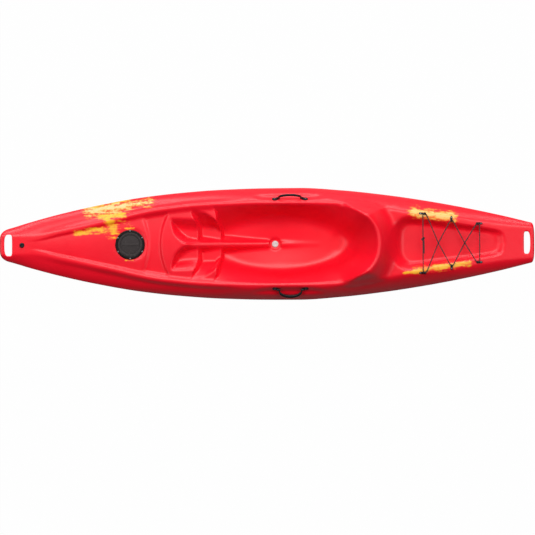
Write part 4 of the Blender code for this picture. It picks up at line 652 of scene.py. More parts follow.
def bottom_surface(x, y):
    """Height of the hull's underside at x, y."""
    y = np.abs(y)
    beam = half_beam(x)
    y = np.minimum(y, beam)
    keel = fair(KEEL_HEIGHT, x)
    parting = fair(PARTING_HEIGHT, x)
    low_y = np.minimum(fair(LOW_CHINE_PLACE, x), LOW_CHINE_MOST * beam)
    high_y = np.minimum(fair(HIGH_CHINE_PLACE, x), HIGH_CHINE_MOST * beam)
    body = keel + KEEL_STEP * smooth((parting - keel) / (4 * KEEL_STEP))
    low_z = np.maximum(fair(LOW_CHINE_HEIGHT, x), body)
    high_z = fair(HIGH_CHINE_HEIGHT, x)
    first = body + (low_z - body) * np.minimum(y / low_y, 1.0)
    hollow = np.clip((y - KEEL_HALF_WIDTH) / (low_y - KEEL_HALF_WIDTH + KEEL_SIDE), 0.0, 1.0)
    first = first + BOTTOM_HOLLOW * np.sin(math.pi * hollow)
    second = low_z + (high_z - low_z) * (y - low_y) / (high_y - low_y)
    reach = np.clip((y - high_y) / (beam - high_y), -1.0, 1.0)
    side = high_z + (parting - high_z) * (1 - (1 - reach) ** SIDE_FLARE)
    z = soft_max(first, second, CHINE_ROUND)
    z = np.where(reach > SIDE_BLEND_START, soft_max(z, side, CHINE_ROUND), z)
    from_pocket = np.abs(x - (POCKET_FRONT_X + POCKET_BACK_X) / 2)
    swell = POCKET_SWELL * smooth(1 - from_pocket / POCKET_SWELL_REACH)
    ridge = 1 - smooth((y - KEEL_HALF_WIDTH - swell) / KEEL_SIDE)
    z = z + (keel - np.minimum(z, body)) * ridge * (y < KEEL_HALF_WIDTH + KEEL_SIDE + swell)
    z = np.where(y <= KEEL_HALF_WIDTH + swell, keel, z)
    z = z + keel_pocket(x, y)
    z = np.minimum(z, parting)
    return parting - (parting - z) * nose(x)


def keel_pocket(x, y):
    """Depth of the slot moulded into the keel under the seat."""
    length = POCKET_BACK_X - POCKET_FRONT_X
    along = (x - POCKET_FRONT_X) / length
    shelf = POCKET_SHELF * smooth(along / POCKET_STEP)
    ramp = (POCKET_DEPTH - POCKET_SHELF) * smooth((along - POCKET_RAMP_START) / POCKET_RAMP)
    wall = smooth((1 - along) * length / KEEL_SIDE)
    inside = smooth((POCKET_HALF_WIDTH - y) / (KEEL_SIDE / 2))
    return (shelf + ramp) * wall * inside * (along > 0) * (along < 1)


# Deck

def edge_distance(edge, centre, x, y):
    """Distance inside one straight edge in plan, positive on the centre's side."""
    x1, y1, x2, y2, _slope = edge
    across = np.array((y2 - y1, x1 - x2)) / math.hypot(x2 - x1, y2 - y1)
    side = 1.0 if (centre[0] - x1) * across[0] + (centre[1] - y1) * across[1] > 0 else -1.0
    return side * ((x - x1) * across[0] + (y - y1) * across[1])


def front_wall(x, y, top, edges, centre, fillet):
    """Sloping wall below a line of edges that bends away from the recess."""
    wall = top + FAR_OFF
    for edge in edges:
        wall = soft_min(wall, top - edge[4] * edge_distance(edge, centre, x, y), fillet)
    return wall


def lower_side(x, y, top):
    """Outer wall of the lower footwell, which grows steeper towards the tub."""
    places, values = np.array(LOWER_STEP_SIDE).T
    edge_y = np.interp(x, places, values)
    width = np.maximum(edge_y - LOWER_STEP_BASE, LOWER_STEP_LEAST)
    return LOWER_TREAD_Z + (top - LOWER_TREAD_Z) * (y - edge_y + width) / width


def sloped_pocket(x, y, top, edges, centre, floor, fillet):
    """A recess with a flat floor and sloping walls below the surface 'top'."""
    wall = top - FAR_OFF
    for edge in edges:
        wall = soft_max(wall, top - edge[4] * edge_distance(edge, centre, x, y), fillet)
    return soft_max(wall, floor, fillet)


def rim_distance(x, y):
    """Distance inside the seat tub's outline, and the rim point across from x, y."""
    half = fair(RIM_PLACE, x) - RIM_TOP / 2
    bend_x = TUB_END_X - TUB_END_LENGTH
    bend_half = fair(RIM_PLACE, bend_x) - RIM_TOP / 2
    ahead = np.maximum(x - bend_x, 0.0)
    size = (ahead / TUB_END_LENGTH) ** TUB_END_FULLNESS + (y / bend_half) ** TUB_END_FULLNESS
    scale = np.maximum(size, LEAST) ** (-1 / TUB_END_FULLNESS)
    radius = np.hypot(ahead, y)
    inside = np.where(x > bend_x, radius * (scale - 1), half - y)
    rim_x = np.where(x > bend_x, bend_x + ahead * scale, x)
    return inside, rim_x


def rim_top(rim_x):
    """Height of the tub's rim, which rises round the back to make the backrest."""
    rise = smooth((rim_x - BACK_START_X) / (BACK_FULL_X - BACK_START_X))
    droop = BACK_DROOP * np.clip((rim_x - BACK_FULL_X) / (TUB_END_X - BACK_FULL_X), 0.0, 1.0)
    return fair(RIM_HEIGHT, rim_x) + (BACK_HEIGHT - droop) * rise


def flank(x, y):
    """Outer side of the deck, from the rim down to the line of greatest beam."""
    beam = half_beam(x)
    rim_y = np.minimum(fair(RIM_PLACE, x) + RIM_TOP / 3, RIM_OUTER_MOST * beam)
    rim_z = fair(RIM_HEIGHT, x)
    parting = fair(PARTING_HEIGHT, x)
    reach = np.clip((y - rim_y) / (beam - rim_y), 0.0, 1.0)
    z = parting + (rim_z - parting) * (1 - reach ** FLANK_BULGE) ** (1 / FLANK_BULGE)
    z = z - fair(GUTTER_DEPTH, x) * (1 - reach) * smooth(reach / GUTTER_SHARE)
    lens = 1 - np.clip(np.abs(x - SCALLOP_X) / SCALLOP_HALF_LENGTH, 0.0, 1.0) ** SCALLOP_END_POWER
    top_y = SCALLOP_TOP_PLACE + SCALLOP_FADE * (1 - lens)
    wall = rim_z - SCALLOP_SLOPE * (y - top_y)
    shelf = SCALLOP_SHELF_Z - SCALLOP_SHELF_SLOPE * (y - SCALLOP_SHELF_PLACE)
    notch = soft_max(wall, shelf, EDGE_ROUND / 2)
    z = np.where(lens > 0, soft_min(z, notch, EDGE_ROUND / 4), z)
    along = np.minimum(x - SIDE_PANEL_FRONT_X, SIDE_PANEL_BACK_X - x)
    up = np.minimum(reach - SIDE_PANEL_BAND[0], SIDE_PANEL_BAND[1] - reach) * (beam - rim_y)
    panel = smooth(along / SIDE_PANEL_RAMP) * smooth(up / SIDE_PANEL_RAMP)
    return z - SIDE_PANEL_DEPTH * panel


def panel_surface(x, y):
    """Deck between the rims, before the footwells, tub and tankwell are sunk into it."""
    rim_y = fair(RIM_PLACE, x)
    rim_z = fair(RIM_HEIGHT, x)
    inward = np.clip((rim_y - RIM_TOP / 2 - y) / PANEL_RAMP, 0.0, 1.0)
    drop = fair(PANEL_DROP, x)
    crown = PANEL_CROWN * np.clip(1 - (y / rim_y) ** 2, 0.0, 1.0) * drop / PANEL_DEPTH
    z = rim_z - drop * smooth(inward) + crown * smooth(inward)
    waist = TROUGH_FLARE * (y / TROUGH_WAIST) ** 2
    ahead = smooth((x - TROUGH_FRONT_X + waist) / TROUGH_RAMP)
    behind = smooth((TROUGH_BACK_X + waist - x) / TROUGH_RAMP)
    ends = smooth((rim_y - RIM_TOP - y) / TROUGH_RAMP)
    z = z - TROUGH_DEPTH * ahead * behind * ends
    from_hatch = np.hypot(x - HATCH_X, y)
    land = smooth((HATCH_LAND_RADIUS - from_hatch) / LAND_RAMP)
    return z + (HATCH_LAND_Z + LAND_SINK - z) * land


def backrest(x, y):
    """Outer face of the moulded backrest, over the deck behind the tub."""
    inside, rim_x = rim_distance(x, y)
    away = np.maximum(-inside, 0.0)
    face = rim_top(rim_x) - BACK_SLOPE * (np.hypot(away, BACK_ROUND) - BACK_ROUND)
    limit = fair(RIM_HEIGHT, x) + BACK_SIDE_SLOPE * (fair(RIM_PLACE, x) + RIM_TOP / 4 - y)
    fade = BACK_FOOT_ROUND * (1 - smooth((x - BACK_START_X) / BACK_FADE))
    return soft_min(face, limit, 2 * EDGE_ROUND) - fade


def seat_tub(x, y):
    """Floor and walls of the seat tub."""
    inside, rim_x = rim_distance(x, y)
    top = rim_top(rim_x)
    size = np.hypot((x - FLOOR_X) / FLOOR_HALF_LENGTH, y / FLOOR_HALF_WIDTH)
    radius = np.maximum(np.hypot(x - FLOOR_X, y), FLOOR_CORE)
    outside = radius * (1 - 1 / np.maximum(size, FLOOR_CORE))
    breadth = np.maximum(outside, 0.0) + np.maximum(inside, 0.0)
    share = outside / np.maximum(breadth, LEAST)
    floor = FLOOR_Z + FLOOR_ROUND / 4 + FLOOR_RISE * smooth(size)
    wall = floor + (top - floor) * share - np.minimum(inside, 0.0) * TUB_OUTSIDE_SLOPE
    tub = soft_max(wall, floor, FLOOR_FOOT_ROUND)
    front = front_wall(x, y, fair(RIM_HEIGHT, x), TUB_FRONT_EDGES, TUB_CENTRE, EDGE_ROUND)
    tub = soft_max(tub, front, STEP_FILLET)
    from_dish = np.hypot(x - DISH_X, y)
    return tub - DISH_DEPTH * smooth((DISH_RADIUS - from_dish) / DISH_WALL)


def spine(x, y):
    """Raised spine that parts the footwells and dies away in the seat floor."""
    along = np.clip((x - SPINE_FRONT_X) / (SPINE_END_X - SPINE_FRONT_X), 0.0, 1.0)
    from_middle = np.clip(np.abs(x - FLOOR_X) / FLOOR_HALF_LENGTH, 0.0, 1.0)
    foot = FLOOR_Z + FLOOR_ROUND / 4 + FLOOR_RISE * from_middle ** 2
    top = foot + (fair(RIM_HEIGHT, x) - foot) * (1 - along) ** SPINE_FALL
    half = SPINE_HALF_WIDTH + (SPINE_END_HALF_WIDTH - SPINE_HALF_WIDTH) * along
    z = top - SPINE_SLOPE * np.maximum(y - half, 0.0)
    from_dish = np.hypot(x - DISH_X, y)
    z = z - SPINE_DISH_SINK * smooth((DISH_RADIUS - from_dish) / DISH_WALL)
    return z - SPINE_END_SINK * (along >= 1)


def deck_surface(x, y):
    """Height of the deck, with everything moulded into it, at x, y."""
    y = np.minimum(np.abs(y), half_beam(x))
    z = np.minimum(panel_surface(x, y), flank(x, y))
    share = (x - TANK_FRONT_X) / (TANK_BACK_X - TANK_FRONT_X)
    tank_floor = TANK_FLOOR_FRONT_Z + (TANK_FLOOR_BACK_Z - TANK_FLOOR_FRONT_Z) * share
    tank = sloped_pocket(x, y, z, TANK_EDGES, TANK_CENTRE, tank_floor, TANK_FILLET)
    z = np.where(x > TANK_START_X, soft_min(z, tank, EDGE_ROUND), z)
    rim_y = fair(RIM_PLACE, x)
    behind = (x > BACK_START_X) & (y < rim_y + RIM_TOP)
    z = np.where(behind, soft_max(z, backrest(x, y), BACK_FOOT_ROUND), z)
    upper = sloped_pocket(x, y, z, UPPER_STEP_EDGES, UPPER_STEP_CENTRE, UPPER_TREAD_Z, STEP_FILLET)
    riser = front_wall(x, y, z, LOWER_STEP_FRONT, LOWER_STEP_CENTRE, EDGE_ROUND)
    lower = soft_max(riser, lower_side(x, y, z), STEP_FILLET)
    lower = soft_max(lower, LOWER_TREAD_Z, STEP_FILLET)
    steps = soft_min(upper, lower, EDGE_ROUND)
    sunk = np.where(x < TUB_FRONT_X + STEPS_REACH, steps, z + NOT_SUNK)
    tub = np.where(x < TUB_END_X + EDGE_ROUND, seat_tub(x, y), z + NOT_SUNK)
    sunk = soft_min(sunk, tub, EDGE_ROUND)
    sunk = soft_max(sunk, spine(x, y), EDGE_ROUND)
    z = soft_min(z, sunk, EDGE_ROUND / 2)
    parting = fair(PARTING_HEIGHT, x)
    z = np.where(y > rim_y + RIM_TOP, np.maximum(z, parting), z)
    return parting + (z - parting) * nose(x)


# Inner skin: the outer surfaces moved inwards by the wall

def wall_ball():
    """Offsets and heights of the points of a ball as large as the wall is thick."""
    points = [(0.0, 0.0, WALL)]
    for share in (0.5, 0.87, 1.0):
        height = WALL * math.sqrt(1 - share * share)
        for k in range(8):
            turn = math.pi * (k + share) / 4
            points.append((WALL * share * math.cos(turn), WALL * share * math.sin(turn), height))
    return points


def deck_inside(x, y):
    return np.min([deck_surface(x + dx, y + dy) - rise for dx, dy, rise in wall_ball()], axis=0)


def bottom_inside(x, y):
    return np.max([bottom_surface(x + dx, y + dy) + rise for dx, dy, rise in wall_ball()], axis=0)


# Frames the fittings sit in

def deck_height(x, y):
    return float(deck_surface(np.array([x]), np.array([y]))[0])


def deck_frame(x, y, reach, sink):
    """Frame on the deck: Z is the outward normal, X runs aft, and sink lowers it."""
    slope_x = (deck_height(x + reach, y) - deck_height(x - reach, y)) / (2 * reach)
    slope_y = (deck_height(x, y + reach) - deck_height(x, y - reach)) / (2 * reach)
    normal = Vector((-slope_x, -slope_y, 1.0)).normalized()
    origin = Vector((x, y, deck_height(x, y))) - normal * sink
    return frame_from(origin, normal)


def frame_from(origin, normal):
    along = Vector((1.0, 0.0, 0.0))
    along = (along - normal * along.dot(normal)).normalized()
    across = normal.cross(along)
    frame = Matrix((along, across, normal)).transposed().to_4x4()
    frame.translation = origin
    return frame


def handle_frame(side, x):
    """Frame on the wall of the side scallop, side +1 for starboard and -1 for port."""
    lean = math.atan(SCALLOP_SLOPE)
    normal = Vector((0.0, side * math.sin(lean), math.cos(lean)))
    rim = float(fair(RIM_HEIGHT, HANDLE_X - HANDLE_SPACING / 2))
    z = rim - SCALLOP_SLOPE * (HANDLE_PLACE - SCALLOP_TOP_PLACE)
    origin = Vector((x, side * HANDLE_PLACE, z)) - normal * LAND_SINK
    return frame_from(origin, normal)


def keel_frame():
    low = float(fair(KEEL_HEIGHT, SKID_X - SKID_LENGTH / 2))
    high = float(fair(KEEL_HEIGHT, SKID_X + SKID_LENGTH / 2))
    normal = Vector(((high - low) / SKID_LENGTH, 0.0, -1.0)).normalized()
    origin = Vector((SKID_X, 0.0, (low + high) / 2)) - normal * SKID_SINK
    return frame_from(origin, normal)


def at(frame, x, y, z=0.0):
    return frame @ Matrix.Translation((x, y, z))


# Outlines

def arc(x, y, radius, start, stop, count):
    """Points on an arc in plan, angles in degrees."""
    turns = [math.radians(start + (stop - start) * k / count) for k in range(count + 1)]
    return [(x + radius * math.cos(t), y + radius * math.sin(t)) for t in turns]


def rounded(half_x, half_y, radius, steps):
    """Rectangle outline with rounded corners, about the origin."""
    radius = min(radius, half_x, half_y) * 0.999
    outline = []
    for sx, sy, start in ((1, 1, 0), (-1, 1, 90), (-1, -1, 180), (1, -1, 270)):
        outline += arc(sx * (half_x - radius), sy * (half_y - radius), radius, start, start + 90, steps)
    return outline


def pad_outline(toward, radius, half, end):
    """Disc with a neck of the given half width, out to end on the side of the other pad."""
    start = math.degrees(math.asin(half / radius))
    points = arc(0.0, 0.0, radius, start, 360 - start, 16) + [(end, -half), (end, half)]
    if toward < 0:
        points = [(-x, y) for x, y in reversed(points)]
    return points


def stadium(reach, radius, direction):
    """Outline of a bar with round ends along a direction, about the origin."""
    turn = math.degrees(math.atan2(direction[1], direction[0]))
    x, y = reach * direction[0], reach * direction[1]
    return arc(x, y, radius, turn - 90, turn + 90, 6) + arc(-x, -y, radius, turn + 90, turn + 270, 6)


def bow_point(half, t):
    """Place and unit tangent on the bowed centre line of the grip."""
    def place(t):
        reach = GRIP_ROOT + GRIP_REACH * max(math.sin(t), 0.0) ** GRIP_BOW_POWER
        return np.array((half * math.cos(t), reach))
    step = 0.02
    low, high = max(t - step, 0.0), min(t + step, math.pi)
    tangent = place(high) - place(low)
    return place(t), tangent / np.linalg.norm(tangent)


def corner_points(word, side, through, first, last):
    """Path round an end eye, where the cord turns to run straight across the boat."""
    outer = first if abs(first) > abs(last) else last
    corner = through(word, side, outer) + Vector((0.0, 0.0, CORNER_LIFT))
    inboard = corner + Vector((0.0, -side * CORD_CORNER, CORNER_LIFT / 3))
    if outer == first:
        return [inboard, corner, through(word, side, last)]
    return [through(word, side, first), corner, inboard]


def soften(path, radius):
    """Round every inner corner of a path with a short curve."""
    points = [path[0]]
    for before, corner, after in zip(path, path[1:], path[2:]):
        into = before - corner
        out = after - corner
        bend = into.angle(out)
        if bend > math.radians(176):
            points.append(corner)
            continue
        a = corner + into.normalized() * min(radius, into.length * BEND_SHARE)
        b = corner + out.normalized() * min(radius, out.length * BEND_SHARE)
        points += [a, (a + b) / 4 + corner / 2, b]
    points.append(path[-1])
    return points


# Nodes

class Wire:
    """Output socket of a node.  Arithmetic on it adds Math nodes."""

    def __init__(self, tree, socket):
        self.tree = tree
        self.socket = socket

    def maths(self, operation, *values):
        return self.tree.add("ShaderNodeMath", {"operation": operation}, dict(enumerate(values)))

    def __add__(self, other):
        return self.maths("ADD", self, other)

    def __radd__(self, other):
        return self.maths("ADD", other, self)

    def __sub__(self, other):
        return self.maths("SUBTRACT", self, other)

    def __rsub__(self, other):
        return self.maths("SUBTRACT", other, self)

    def __mul__(self, other):
        return self.maths("MULTIPLY", self, other)

    def __rmul__(self, other):
        return self.maths("MULTIPLY", other, self)

    def __truediv__(self, other):
        return self.maths("DIVIDE", self, other)

    def __pow__(self, other):
        return self.maths("POWER", self, other)


class NodeTree:
    """Node tree that is filled one node at a time."""

    def __init__(self, tree):
        self.tree = tree

    def add(self, kind, settings=(), inputs=(), output=None):
        """New node: its settings first, then the values or wires of its sockets."""
        node = self.tree.nodes.new(kind)
        for key, value in dict(settings).items():
            setattr(node, key, value)
        for key, value in dict(inputs).items():
            self.feed(pick(node.inputs, key), value)
        return Wire(self, pick(node.outputs, output)) if node.outputs else node

    def feed(self, socket, value):
        for one in value if isinstance(value, list) else [value]:
            if isinstance(one, Wire):
                self.tree.links.new(one.socket, socket)
            else:
                socket.default_value = one


def pick(sockets, key):
    """The socket at an index, the first one in use with a name, or the first one in use."""
    if isinstance(key, int):
        return sockets[key]
    for socket in sockets:
        if socket.enabled and key in (None, socket.name):
            return socket
    raise KeyError(f"no socket {key!r} among {[socket.name for socket in sockets]}")


CONSTANTS = {
    "gloss": "Specular IOR Level", "metal": "Metallic", "colour": "Base Color", "rough": "Roughness",
}


class Finish(NodeTree):
    """Material with one Principled shader, whose constants are set on its own sockets."""

    def __init__(self, name, **constants):
        self.material = bpy.data.materials.new(name)
        self.material.use_nodes = True
        super().__init__(self.material.node_tree)
        self.shader = self.tree.nodes["Principled BSDF"]
        for key, value in constants.items():
            self.shader.inputs[CONSTANTS[key]].default_value = value

    def cover(self, colour, rough, height):
        """Feed the shader, with the height in metres as bump, and give the finished material."""
        bump = self.add("ShaderNodeBump", {}, {"Strength": 1.0, "Distance": 1.0, "Height": height}, "Normal")
        for socket, wire in (("Base Color", colour), ("Roughness", rough), ("Normal", bump)):
            self.feed(self.shader.inputs[socket], wire)
        return self.material

    def place(self, scale=(1.0, 1.0, 1.0)):
        """Object coordinates, stretched by a scale."""
        spot = self.add("ShaderNodeTexCoord", output="Object")
        return self.add("ShaderNodeMapping", {}, {"Vector": spot, "Scale": scale})

    def noise(self, spot, scale, detail=3.0, roughness=0.5):
        return self.add("ShaderNodeTexNoise", {}, {
            "Vector": spot, "Scale": scale, "Detail": detail, "Roughness": roughness}, "Fac")

    def attribute(self, name):
        return self.add("ShaderNodeAttribute", {"attribute_name": name}, {}, "Fac")

    def between(self, value, low, high):
        """0 below low, 1 above high, and a smooth rise between them."""
        return self.add("ShaderNodeMapRange", {"interpolation_type": "SMOOTHSTEP"}, {
            "Value": value, "From Min": low, "From Max": high}, "Result")

    def blend(self, factor, first, second):
        """Mix of two colours, each a wire or three parts."""
        first, second = (one if isinstance(one, Wire) else opaque(one) for one in (first, second))
        return self.add("ShaderNodeMix", {"data_type": "RGBA"}, {
            "Factor": factor, "A": first, "B": second}, "Result")


def opaque(colour):
    return (*colour, 1.0)


def tinted(colour, times, plus=0.0):
    return tuple(min(1.0, part * times + plus) for part in colour)


# Finishes.  Each maker takes the colours of the scene's own properties

def hull_plastic(paint):
    """Gloss rotomoulded red with marbled streaks of orange and yellow, and a painted cream sheen over some
    of them.
    """
    made = Finish("hull_plastic", gloss=0.45)
    spot = made.place()
    drawn = made.between(made.noise(made.place(STREAK_GRAIN), 1.0, 6.0, 0.6), 0.36, 0.64)
    broken = made.between(made.noise(spot, 60.0, 4.0, 0.6), 0.36, 0.64)
    edge = made.attribute("streak") + (drawn - 0.5) * STREAK_TEAR + (broken - 0.5) * STREAK_BREAK
    clouds = made.between(made.noise(spot, 3.0, 2.0), 0.3, 0.7)
    red = made.blend(clouds, paint.hull_red, paint.hull_deep_red)
    warm = made.blend(made.between(edge, -0.10, 0.32) * 0.9, red, paint.streak_orange)
    bright = made.blend(made.between(edge, 0.15, 0.70), warm, paint.streak_yellow)
    # Painted sheen: where a stroke asks for it, the streak's heart turns cream in place of the flank's
    # glossy highlight.
    cream = made.between(edge, 0.22, 0.85) * made.attribute("cream")
    colour = made.blend(cream, bright, paint.streak_cream)
    rough = 0.30 + 0.10 * made.noise(spot, 14.0, 4.0) + 0.03 * made.noise(spot, 220.0)
    skin = made.noise(spot, 260.0, 2.0) * 0.6 + made.noise(spot, 60.0, 2.0)
    seam = 1 - made.between(made.attribute("seam"), 0.0, 0.0016)
    return made.cover(colour, rough, skin * 0.0002 + seam * 0.0006)


def worn(name, colours, wear, shown, rough, uneven, depth, grain, stretch=(1.0, 1.0), **constants):
    """Finish of two colours, the second where it is worn, with uneven gloss and a fine grain.

    wear, uneven and grain are noises as (scale, detail, roughness), shown is the range in which
    wear shows, rough is the least roughness and what the noise adds, depth is that of the grain
    in metres, and stretch draws the last two noises out round Z, as a tool does.
    """
    made = Finish(name, **constants)
    colour = made.blend(made.between(made.noise(made.place(), *wear), *shown), *colours)
    least, more = rough
    gloss, marks = (made.noise(made.place((1.0, 1.0, share)), *kind)
                    for share, kind in zip(stretch, (uneven, grain)))
    return made.cover(colour, least + more * gloss, marks * depth)


def moulded_nylon(name, colour, rough, grain):
    """Satin black moulding with a fine spark-eroded grain."""
    return worn(name, (colour, tinted(colour, 2.2, 0.012)), (90.0, 5.0, 0.65), (0.52, 0.80), (rough, 0.12),
                (150.0, 3.0), 0.00012, (grain, 2.0), gloss=0.25)


def black_moulding(paint):
    return moulded_nylon("black_moulding", paint.fitting_black, 0.40, 1500.0)


def ring_moulding(paint):
    return moulded_nylon("ring_moulding", paint.ring_black, 0.30, 1500.0)


def grey_moulding(paint):
    return moulded_nylon("grey_moulding", paint.lid_grey, 0.42, 900.0)


def pale_moulding(paint):
    return worn("pale_moulding", (paint.plug_pale, tinted(paint.plug_pale, 0.72)), (120.0, 5.0, 0.7),
                (0.48, 0.75), (0.30, 0.15), (200.0,), 0.00008, (1200.0,), gloss=0.5)


def soft_rubber(paint):
    return worn("soft_rubber", (paint.fitting_black, tinted(paint.fitting_black, 1.0, 0.03)),
                (160.0, 5.0, 0.7), (0.5, 0.85), (0.68, 0.2), (300.0,), 0.0001, (2500.0, 2.0), gloss=0.3)


def turned_metal(name, colour, rough):
    """Metal with fine tool marks."""
    return worn(name, (colour, tinted(colour, 0.7)), (400.0, 4.0), (0.45, 0.75), (rough, 0.2), (900.0, 2.0),
                0.00005, (600.0, 2.0), (12.0, 20.0), metal=1.0)


def screw_steel(paint):
    return turned_metal("screw_steel", paint.screw_steel, 0.42)


def insert_brass(paint):
    return turned_metal("insert_brass", paint.insert_brass, 0.25)


def braided_cover(paint):
    """Woven cover of the shock cord, drawn on the cord's own UV map."""
    made = Finish("braided_cover", gloss=0.3)
    split = {"Vector": made.add("ShaderNodeUVMap", {"uv_map": "length"}, {}, "UV")}
    around, along = (made.add("ShaderNodeSeparateXYZ", {}, split, axis) for axis in "XY")
    left = wave(around * BRAID_STRANDS + along * BRAID_PITCH)
    right = wave(around * BRAID_STRANDS - along * BRAID_PITCH)
    over = made.between(wave(along * BRAID_PITCH * 2), 0.35, 0.65)
    strand = left * over + right * (1 - over)
    fleck = made.between(made.noise(made.place(), 700.0, 2.0), 0.60, 0.72)
    # Strand crowns are drawn lighter and the gaps between strands darker, as painted light on the weave; the
    # flecks are the cord's own.
    colour = made.blend(strand * 0.5 + fleck * 0.3, paint.fitting_black,
                        tinted(paint.fitting_black, 1.0, 0.10))
    return made.cover(colour, 0.55 + 0.25 * strand, strand * 0.00025)


def wave(turns):
    """0 to 1 and back once a turn."""
    angle = turns * (2 * math.pi)
    return 0.5 + 0.5 * angle.maths("SINE", angle)


def cell_foam(paint):
    """Closed-cell foam with small open cells on its cut faces."""
    made = Finish("cell_foam", gloss=0.2)
    cells = made.add("ShaderNodeTexVoronoi", {"feature": "DISTANCE_TO_EDGE"}, {
        "Vector": made.place(), "Scale": 420.0}, "Distance")
    wall = 1 - made.between(cells, 0.02, 0.16)
    # The insides of the open cells are drawn darker than their walls: painted shade in the pits.
    colour = made.blend(wall, tinted(paint.foam_white, 0.78), paint.foam_white)
    return made.cover(colour, 0.80 + 0.15 * wall, wall * 0.0003)


FINISHES = {maker.__name__: maker for maker in (
    hull_plastic, black_moulding, ring_moulding, grey_moulding, pale_moulding, soft_rubber, screw_steel,
    insert_brass, braided_cover, cell_foam)}


def finish(name):
    """Material with that name, made when it is first asked for."""
    return bpy.data.materials.get(name) or FINISHES[name](bpy.context.scene.kayak_colours)


# Mesh helpers

def make_piece(name, points, faces, material=None, matrix=None, sharp=SHARP_ANGLE):
    """Mesh object at the origin, its place in its mesh, smooth but for its sharp edges."""
    mesh = bpy.data.meshes.new(name)
    mesh.from_pydata([tuple(point) for point in points], [], faces)
    clean(mesh)
    return show(name, mesh, material, matrix, sharp)


def show(name, mesh, material=None, matrix=None, sharp=SHARP_ANGLE):
    if matrix is not None:
        mesh.transform(matrix)
    if material is not None:
        mesh.materials.append(finish(material))
    shade(mesh, sharp)
    return link(name, mesh)


def shade(mesh, sharp):
    mesh.shade_smooth()
    mesh.set_sharp_from_angle(angle=math.radians(sharp))


def link(name, data):
    made = bpy.data.objects.new(name, data)
    bpy.context.scene.collection.objects.link(made)
    return made


def clean(mesh, gap=0.000002):
    """Merge doubled points and turn every face outwards."""
    bm = bmesh.new()
    bm.from_mesh(mesh)
    bmesh.ops.remove_doubles(bm, verts=bm.verts, dist=gap)
    bmesh.ops.dissolve_degenerate(bm, edges=bm.edges, dist=gap / 10)
    bmesh.ops.recalc_face_normals(bm, faces=bm.faces)
    bm.to_mesh(mesh)
    bm.free()


def apply_modifiers(piece, sharp=SHARP_ANGLE):
    """Give a piece its evaluated shape as its own plain mesh."""
    bpy.context.view_layer.update()
    graph = bpy.context.evaluated_depsgraph_get()
    mesh = bpy.data.meshes.new_from_object(piece.evaluated_get(graph))
    old = piece.data
    piece.modifiers.clear()
    piece.data = mesh
    bpy.data.meshes.remove(old)
    shade(mesh, sharp)
    return piece


def combine(base, others, operation, sharp=SHARP_ANGLE):
    """Union with other shapes, or cut them out, and remove them."""
    tools = bpy.data.collections.new("tools")
    bpy.context.scene.collection.children.link(tools)
    for other in others:
        bpy.context.scene.collection.objects.unlink(other)
        tools.objects.link(other)
    join = base.modifiers.new("combine", "BOOLEAN")
    join.operation = operation
    join.solver = "EXACT"
    join.operand_type = "COLLECTION"
    join.collection = tools
    apply_modifiers(base, sharp)
    for other in others:
        bpy.data.objects.remove(other, do_unlink=True)
    bpy.data.collections.remove(tools)
    return base


def eased(points, radius, closed=False, steps=4):
    """Line with each corner rounded by a short curve."""
    made = []
    for i, corner in enumerate(points):
        corner = Vector(corner)
        if not closed and i in (0, len(points) - 1):
            made.append(corner)
            continue
        into = Vector(points[i - 1]) - corner
        out = Vector(points[(i + 1) % len(points)]) - corner
        reach = min(radius, into.length * BEND_SHARE, out.length * BEND_SHARE)
        a = corner + into.normalized() * reach
        b = corner + out.normalized() * reach
        for k in range(steps + 1):
            t = k / steps
            made.append(a * (1 - t) ** 2 + corner * 2 * t * (1 - t) + b * t * t)
    return made


def turned(name, profile, steps, material=None, matrix=None, closed=False, sharp=SHARP_ANGLE):
    """Piece turned about local Z from a profile of (radius, height) points."""
    count = len(profile)
    points = []
    for k in range(steps):
        turn = 2 * math.pi * k / steps
        points += [(r * math.cos(turn), r * math.sin(turn), z) for r, z in profile]
    faces = []
    for k in range(steps):
        near, far = k * count, (k + 1) % steps * count
        for i in range(count if closed else count - 1):
            j = (i + 1) % count
            faces.append((near + i, far + i, far + j, near + j))
    return make_piece(name, points, faces, material, matrix, sharp)


def rod(radius, low, high, steps=32, matrix=None):
    return turned("rod", ((0.0, high), (radius, high), (radius, low), (0.0, low)), steps, None, matrix)


def screw_bore(place):
    """Tool that bores a fitting for one screw."""
    return rod(SCREW_HOLE_RADIUS, -SHORT_CUT, DEEP_CUT, 16, place)


def prism(name, outline, low, high, material=None, matrix=None, edge=0.0):
    """Flat piece over a closed outline, with its edges rounded."""
    count = len(outline)
    points = [(x, y, low) for x, y in outline] + [(x, y, high) for x, y in outline]
    faces = [tuple(range(count)), tuple(range(count, 2 * count))]
    faces += [(i, (i + 1) % count, (i + 1) % count + count, i + count) for i in range(count)]
    piece = make_piece(name, points, faces, material, matrix)
    if edge > 0:
        ease = piece.modifiers.new("edge", "BEVEL")
        ease.width = edge
        ease.segments = 3
        ease.limit_method = "ANGLE"
        ease.angle_limit = math.radians(SHARP_ANGLE)
        apply_modifiers(piece)
    return piece


